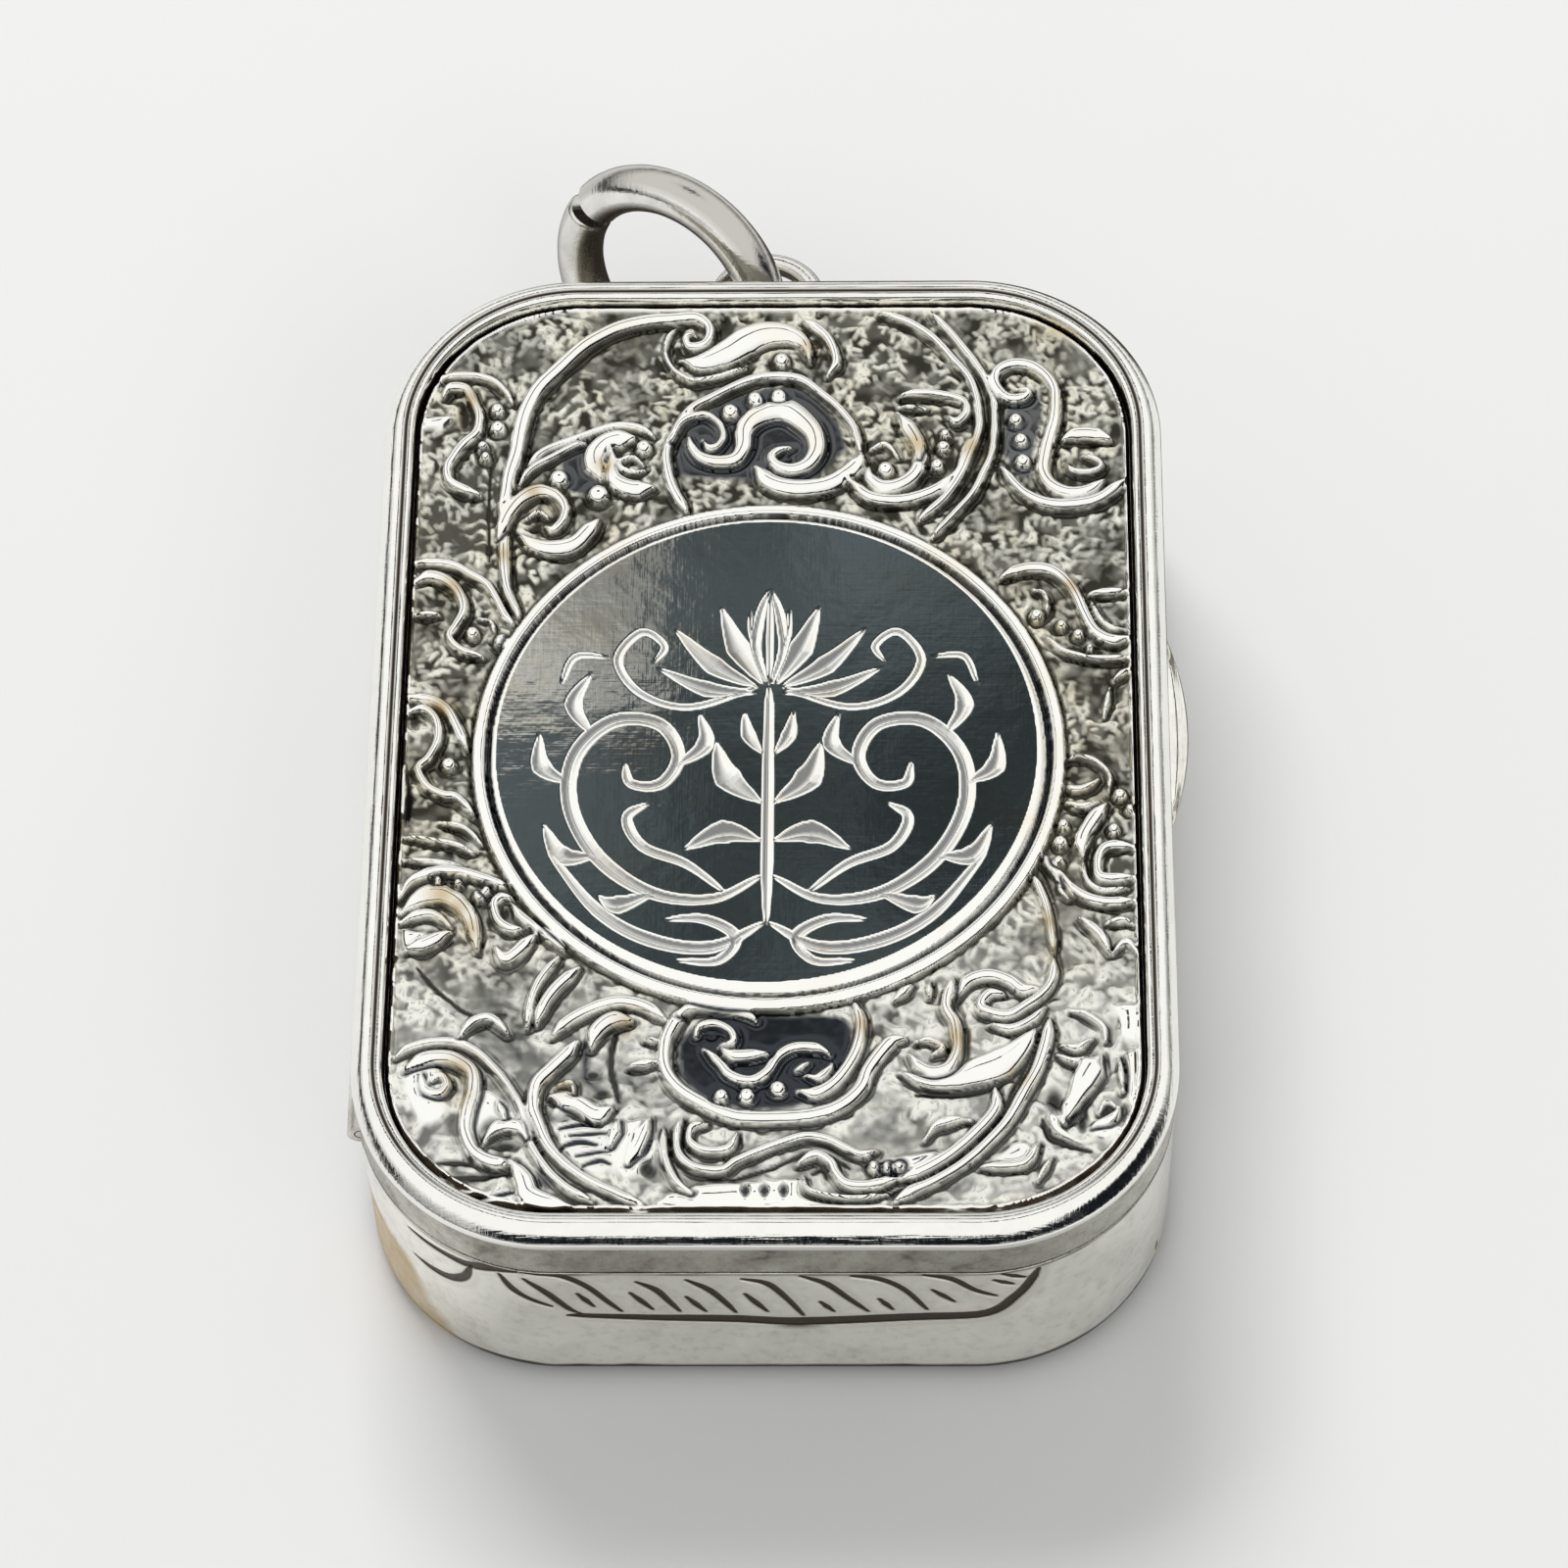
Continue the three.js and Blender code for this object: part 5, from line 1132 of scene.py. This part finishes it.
class Nodes:
    """A short way to lay out the nodes of a material or of the world."""

    def __init__(self, owner, shader="Principled BSDF"):
        owner.use_nodes = True
        self.owner = owner
        self.tree = owner.node_tree
        self.shader = self.tree.nodes[shader]
        self.coordinates = self.add("ShaderNodeTexCoord").outputs
        self.place = self.coordinates["Object"]

    def put(self, node, key, value):
        """Links a value from another node to a node's input, or sets the input."""
        if isinstance(value, bpy.types.NodeSocket):
            self.tree.links.new(value, node.inputs[key])
        else:
            node.inputs[key].default_value = value

    def add(self, kind, inputs=None, **settings):
        made = self.tree.nodes.new(kind)
        for key, value in settings.items():
            setattr(made, key, value)
        for key, value in (inputs or {}).items():
            self.put(made, key, value)
        return made

    def noise(self, scale, detail=4.0, rough=0.55, stretch=None, distortion=0.0):
        place = self.place
        if stretch:
            place = self.add("ShaderNodeMapping", {"Vector": place, "Scale": stretch}).outputs[0]
        return self.add("ShaderNodeTexNoise", {"Vector": place, "Scale": scale, "Detail": detail,
                                               "Roughness": rough, "Distortion": distortion}).outputs[0]

    def cells(self, scale):
        return self.add("ShaderNodeTexVoronoi", {"Vector": self.place, "Scale": scale}).outputs["Distance"]

    def scratches(self):
        """Fine wiping scratches in two directions."""
        return self.math("ADD", self.noise(420, 2, 0.7, stretch=(1, 26, 9)), self.noise(420, 2, 0.7, (24, 1.4, 9)))

    def spread(self, value, low, high, to_low=0.0, to_high=1.0):
        return self.add("ShaderNodeMapRange", {"Value": value, "From Min": low, "From Max": high,
                                               "To Min": to_low, "To Max": to_high}).outputs[0]

    def math(self, operation, a, b, clamp=False):
        return self.add("ShaderNodeMath", {0: a, 1: b}, operation=operation, use_clamp=clamp).outputs[0]

    def mix(self, factor, a, b):
        """A colour between a and b, which are colours or sockets."""
        made = self.add("ShaderNodeMix", {0: factor}, data_type="RGBA")
        for key, value in ((6, a), (7, b)):
            self.put(made, key, (*value, 1) if isinstance(value, tuple) else value)
        return made.outputs[2]

    def mark(self, name):
        return self.add("ShaderNodeAttribute", attribute_name=name).outputs["Fac"]

    def bump(self, height, depth, after=None):
        """A bump of so many millimetres."""
        inputs = {"Height": height, "Distance": depth * MM, "Strength": 1.0}
        if after is not None:
            inputs["Normal"] = after
        return self.add("ShaderNodeBump", inputs).outputs[0]

    def finish(self, color, rough, normal=None, metal=0.0):
        self.put(self.shader, "Base Color", color)
        self.put(self.shader, "Roughness", rough)
        self.put(self.shader, "Metallic", metal)
        if normal is not None:
            self.put(self.shader, "Normal", normal)
        return self.owner


def metal(name, clean, dull, rough, tarnish=0.35, marked=False, mottled=0.0, stained=False, fleck=0.4):
    """Polished metal with tarnish in patches, fine wiping scratches and small dents."""
    n = Nodes(bpy.data.materials.new(name))
    patches = n.noise(260, 5, 0.6, distortion=0.6)
    spots = n.noise(1000, 4, 0.62, distortion=0.3)
    flecks = n.noise(2600, 3, 0.6)
    cover = n.spread(patches, 0.42, 0.72, 0.0, tarnish)
    cover = n.math("ADD", cover, n.spread(spots, 0.45, 0.7, 0.0, 0.5 * tarnish), clamp=True)
    cover = n.math("ADD", cover, n.spread(flecks, 0.5, 0.74, 0.0, fleck * tarnish), clamp=True)
    if marked:
        # The mark holds oxide, and on some pieces painted shade and painted reflection too.
        cover = n.math("MAXIMUM", cover, n.spread(n.mark("oxide_and_shade"), 0.1, 0.7))
    color = n.mix(cover, clean, dull)
    scratches = n.scratches()
    roughness = n.math("ADD", n.spread(scratches, 0.75, 1.3, *rough), n.spread(cover, 0, 1, 0, 0.22))
    if stained:
        stain = n.mark("stain")
        color = n.mix(stain, color, OCHRE)
        roughness = n.math("ADD", roughness, n.math("MULTIPLY", stain, 0.3))
    dents = n.bump(n.noise(520, 3, 0.5), 0.012 + mottled, after=n.bump(scratches, 0.006))
    return n.finish(color, roughness, dents, metal=1.0)


def chased_silver():
    """The chased panel: bright ribs, oxide in the matting and grooves with painted warm glints between."""
    n = Nodes(bpy.data.materials.new("chased_silver_work"))
    oxide_and_shade, ground, pale = n.mark("oxide_and_shade"), n.mark("ground"), n.mark("pale")
    patches = n.noise(420, 4, 0.6, distortion=0.5)
    fine = n.noise(2600, 3, 0.6)
    warm = n.mix(n.spread(patches, 0.42, 0.62), (0.60, 0.595, 0.49), (0.72, 0.66, 0.46))
    warm = n.mix(pale, warm, (0.74, 0.74, 0.71))
    # Tan patches on the bright ribs are painted warm reflection, fewer towards the near end.
    painted_warm_glint = n.math("MULTIPLY", n.spread(patches, 0.5, 0.74, 0, 0.45), n.spread(pale, 0, 1, 1, 0.3))
    bright = n.mix(painted_warm_glint, (0.97, 0.965, 0.93), (0.90, 0.80, 0.58))
    bright = n.mix(n.math("MULTIPLY", n.mark("warm"), 0.85), bright, (0.60, 0.47, 0.27))
    # Cream flecks over the matting's tan are painted glints.
    matted = n.mix(n.spread(fine, 0.35, 0.7), warm, (0.94, 0.93, 0.81))
    face = n.mix(n.math("MULTIPLY", ground, 0.7), bright, matted)
    soil = n.mix(pale, (0.046, 0.044, 0.033), (0.06, 0.06, 0.055))
    # Where there is no matting the dark is bluish: painted dark reflection in the plain hollows and painted shade on
    # the far sides of ribs and cuts. In the matting it is the brown of oxide.
    painted_dark_and_soil = n.mix(ground, (0.045, 0.05, 0.058), soil)
    color = n.mix(n.spread(oxide_and_shade, 0.12, 0.88), face, painted_dark_and_soil)
    roughness = n.math("ADD", n.spread(ground, 0, 1, 0.05, 0.25), n.spread(oxide_and_shade, 0, 1, 0, 0.2))
    normal = n.bump(n.scratches(), 0.0006, after=n.bump(n.noise(900, 3, 0.55), 0.006))
    return n.finish(color, roughness, normal, metal=1.0)


def sponge_material():
    n = Nodes(bpy.data.materials.new("sponge_cells"))
    pores = n.math("MULTIPLY", n.spread(n.cells(2300.0), 0.05, 0.5), n.spread(n.cells(1050.0), 0.1, 0.55, 0.2, 1))
    tint = n.mix(n.noise(300, 5, 0.6), (0.55, 0.36, 0.14), (0.78, 0.58, 0.30))
    # The open cells are painted dark brown: painted shade in the holes.
    color = n.mix(n.spread(pores, 0.1, 0.75, 1, 0), tint, (0.16, 0.09, 0.035))
    return n.finish(color, n.spread(n.noise(900, 3), 0.3, 0.7, 0.85, 1.0), n.bump(pores, 0.22))


CLEAN = (0.95, 0.945, 0.90)
SOOT = (0.05, 0.038, 0.026)
OCHRE = (0.52, 0.39, 0.2)

SILVER_MOULDING = metal("silver_moulding", CLEAN, SOOT, (0.04, 0.14), tarnish=0.06, marked=True)
SILVER = metal("silver_polished", CLEAN, (0.55, 0.50, 0.42), (0.04, 0.16), tarnish=0.3)
SILVER_ENGRAVED = metal("silver_engraved", (0.94, 0.93, 0.86), SOOT, (0.06, 0.2), tarnish=0.17, marked=True,
                        stained=True, fleck=1.1)
# The band's silver is made darker all over, with tarnish in patches.
SILVER_DARKENED = metal("silver_darkened", (0.52, 0.51, 0.445), (0.13, 0.12, 0.095), (0.14, 0.34), tarnish=0.75,
                    mottled=0.04, fleck=0.45)
SILVER_HINGE = metal("silver_hinge", (0.86, 0.85, 0.82), (0.30, 0.27, 0.22), (0.12, 0.34), tarnish=0.6)
SILVER_RING = metal("silver_ring", (0.92, 0.91, 0.87), (0.22, 0.2, 0.165), (0.04, 0.12), tarnish=0.3, marked=True)
# Painted shade: the black of the ring's split, laid on one end face of the wire.
PAINTED_SPLIT_SHADE = metal("painted_split_shade", (0.035, 0.03, 0.026), (0.015, 0.013, 0.011), (0.3, 0.5))
GILT = metal("gilt_polished", (0.98, 0.74, 0.34), (0.72, 0.46, 0.17), (0.10, 0.28), tarnish=0.5)
GILT_MATT = metal("gilt_matted", (0.96, 0.72, 0.34), (0.58, 0.36, 0.13), (0.22, 0.42), tarnish=0.6, mottled=0.02)


# ---------------------------------------------------------------- the object

lid_panel([chased_silver(), GILT_MATT])
lid_rim(SILVER_MOULDING)
lid_band(SILVER_DARKENED, GILT_MATT)
case_wall(SILVER_ENGRAVED, GILT_MATT)
base_plate(SILVER_ENGRAVED, GILT_MATT)
# The ring's last end is painted black, as the shade in its split.
jump_ring([SILVER_RING, PAINTED_SPLIT_SHADE])
suspension_loop(SILVER_RING)
thumbpiece(SILVER)
sponge(sponge_material())

# The solids that show as they are.
for material, node_names in (
    (GILT, "case_collar grille_plate grille_frame grille_tab grille_knuckle grille_knuckle_case_1 "
           "grille_knuckle_case_2 grille_pin"),
    (GILT_MATT, "grille_ledge"),
    (SILVER_HINGE, "hinge_pin hinge_knuckle_case_1 hinge_knuckle_case_2 hinge_knuckle_case_3 "
                   "hinge_knuckle_lid_1 hinge_knuckle_lid_2"),
):
    for node_name in node_names.split():
        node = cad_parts[node_name]
        mesh = node.data
        mesh.materials.clear()
        mesh.materials.append(material)
        mesh.polygons.foreach_set("use_smooth", np.ones(len(mesh.polygons), bool))
        # The faces of a CAD node share no points: they are joined, and parted again where an edge is sharp.
        node.modifiers.new("joined", "WELD").merge_threshold = 0.000001
        parted = node.modifiers.new("sharp_edges", "EDGE_SPLIT")
        parted.split_angle = math.radians(32)
        parted.use_edge_sharp = False
        node.modifiers.new("even_shading", "WEIGHTED_NORMAL").mode = "FACE_AREA"


# ---------------------------------------------------------------- floor, light and camera

def stage_panel(name, centre, facing, width, height, material, glossy_only=False):
    """A flat panel of the studio, given in millimetres."""
    mesh = bpy.data.meshes.new(name)
    x, y = width / 2 * MM, height / 2 * MM
    mesh.from_pydata([(-x, -y, 0), (x, -y, 0), (x, y, 0), (-x, y, 0)], [], [(0, 1, 2, 3)])
    mesh.materials.append(material)
    panel = bpy.data.objects.new(name, mesh)
    bpy.context.scene.collection.objects.link(panel)
    panel.location = Vector(centre) * MM
    panel.rotation_mode = "QUATERNION"
    panel.rotation_quaternion = Vector(facing).to_track_quat("Z", "Y")
    if glossy_only:
        panel.visible_camera = panel.visible_diffuse = panel.visible_shadow = panel.visible_transmission = False


def matt(name, low, high):
    n = Nodes(bpy.data.materials.new(name))
    n.put(n.shader, "Specular IOR Level", 0.0)
    return n.finish(n.mix(n.noise(30.0, 4, 0.6), low, high), 0.9)


def glow(name, color, strength, clouds=None, faded=False):
    """A surface with a glow of its own, uneven where clouds gives a scale, or faded towards its edges."""
    n = Nodes(bpy.data.materials.new(name))
    if faded:
        axes = n.add("ShaderNodeSeparateXYZ", {0: n.coordinates["Generated"]})
        from_middle = [n.math("SUBTRACT", axes.outputs[k], 0.5) for k in (0, 1)]
        seen = [n.spread(n.math("MULTIPLY", away, away), 0.09, 0.25, 1, 0) for away in from_middle]
        n.put(n.shader, "Alpha", n.math("MULTIPLY", *seen))
    if clouds:
        strength = n.spread(n.noise(clouds, 5, 0.6, distortion=0.4), 0.38, 0.66, 0.55 * strength, 2.4 * strength)
    n.put(n.shader, "Emission Strength", strength)
    n.put(n.shader, "Emission Color", (*color, 1))
    n.put(n.shader, "Base Color", (0, 0, 0, 1))
    n.put(n.shader, "Specular IOR Level", 0.0)
    return n.owner


def lamp(name, centre, size, energy):
    """A soft rectangular lamp that points at the object and isn't itself seen in the metal."""
    data = bpy.data.lights.new(name, "AREA")
    data.shape = "RECTANGLE"
    data.size, data.size_y = size[0] * MM, size[1] * MM
    data.energy = energy
    made = bpy.data.objects.new(name, data)
    bpy.context.scene.collection.objects.link(made)
    made.location = Vector(centre) * MM
    made.rotation_mode = "QUATERNION"
    made.rotation_quaternion = (Vector((0, 0, 4)) - Vector(centre)).to_track_quat("-Z", "Y")
    made.visible_glossy = False


stage_panel("floor", (0, 0, 0), (0, 0, 1), 3000, 3000, matt("floor_card", (0.84, 0.84, 0.84), (0.87, 0.87, 0.87)))

# Dark parts of the room, seen only in the metal.
BEYOND = Vector((-0.02, 0.52, 0.85)).normalized()
stage_panel("room_beyond", BEYOND * 400, -BEYOND, 106, 96, glow("room_dark", (0.68, 0.84, 0.92), 0.058, 22), True)
stage_panel("room_near", (40, -400, 122), (-40, 400, -114), 620, 98, glow("room_near_dark", (0.6, 0.72, 1), 0.012),
            True)
stage_panel("room_right", (380, -150, 120), (-380, 150, -110), 560, 280,
            glow("room_right_dark", (0.6, 0.72, 1), 0.012, faded=True), True)
stage_panel("room_left", (-400, 100, 62), (400, -100, -54), 520, 56, glow("room_left_dark", (1, 0.85, 0.7), 0.03), True)
# A dark sheet on the floor round the ring, seen only in the metal: painted shade of the floor round the box's far end
# and the ring.
stage_panel("floor_shade_sheet", (7.5, 19, 0.05), (0, 0, 1), 41, 40,
            glow("painted_floor_shade", (1, 0.88, 0.74), 0.08, faded=True), True)
stage_panel("room_corner", (-41, 226, 324), -BEYOND, 40, 45, glow("room_grey", (1, 1, 0.95), 0.42, 22), True)

lamp("key", (-185, 560, 620), (420, 320), 4.4)
lamp("fill", (240, -330, 360), (240, 240), 0.25)

# The room is even, but in reflections it darkens towards the horizon, from DARKER_FROM of their upward share down.
EVEN_LIGHT, HORIZON_LIGHT, DARKER_FROM = 0.54, 0.1, 0.45
world = bpy.data.worlds.new("studio")
room = Nodes(world, "Background")
upward = room.add("ShaderNodeSeparateXYZ", {0: room.coordinates["Generated"]}).outputs["Z"]
mirrored = room.spread(upward, 0, DARKER_FROM, HORIZON_LIGHT)
glossy = room.add("ShaderNodeLightPath").outputs["Is Glossy Ray"]
room.put(room.shader, "Strength", room.spread(glossy, 0, 1, EVEN_LIGHT, mirrored))
room.put(room.shader, "Color", (1.0, 1.0, 0.99, 1))
bpy.context.scene.world = world

camera_data = bpy.data.cameras.new("camera")
camera_data.lens = 132.87
camera_data.sensor_width = 36.0
camera_data.clip_start = 0.01
camera_data.clip_end = 10.0
camera = bpy.data.objects.new("camera", camera_data)
bpy.context.scene.collection.objects.link(camera)
CAMERA_PLACE = Vector((4.197, -91.964, 156.084))
CAMERA_AXES = (Vector((0.99977, 0.00978, -0.01919)), Vector((0.00167, 0.85294, 0.52201)),
               Vector((0.02148, -0.52192, 0.85272)))
camera.matrix_world = Matrix.Translation(CAMERA_PLACE * MM) @ Matrix(CAMERA_AXES).transposed().to_4x4()
bpy.context.scene.camera = camera
bpy.context.scene.view_settings.view_transform = "Standard"
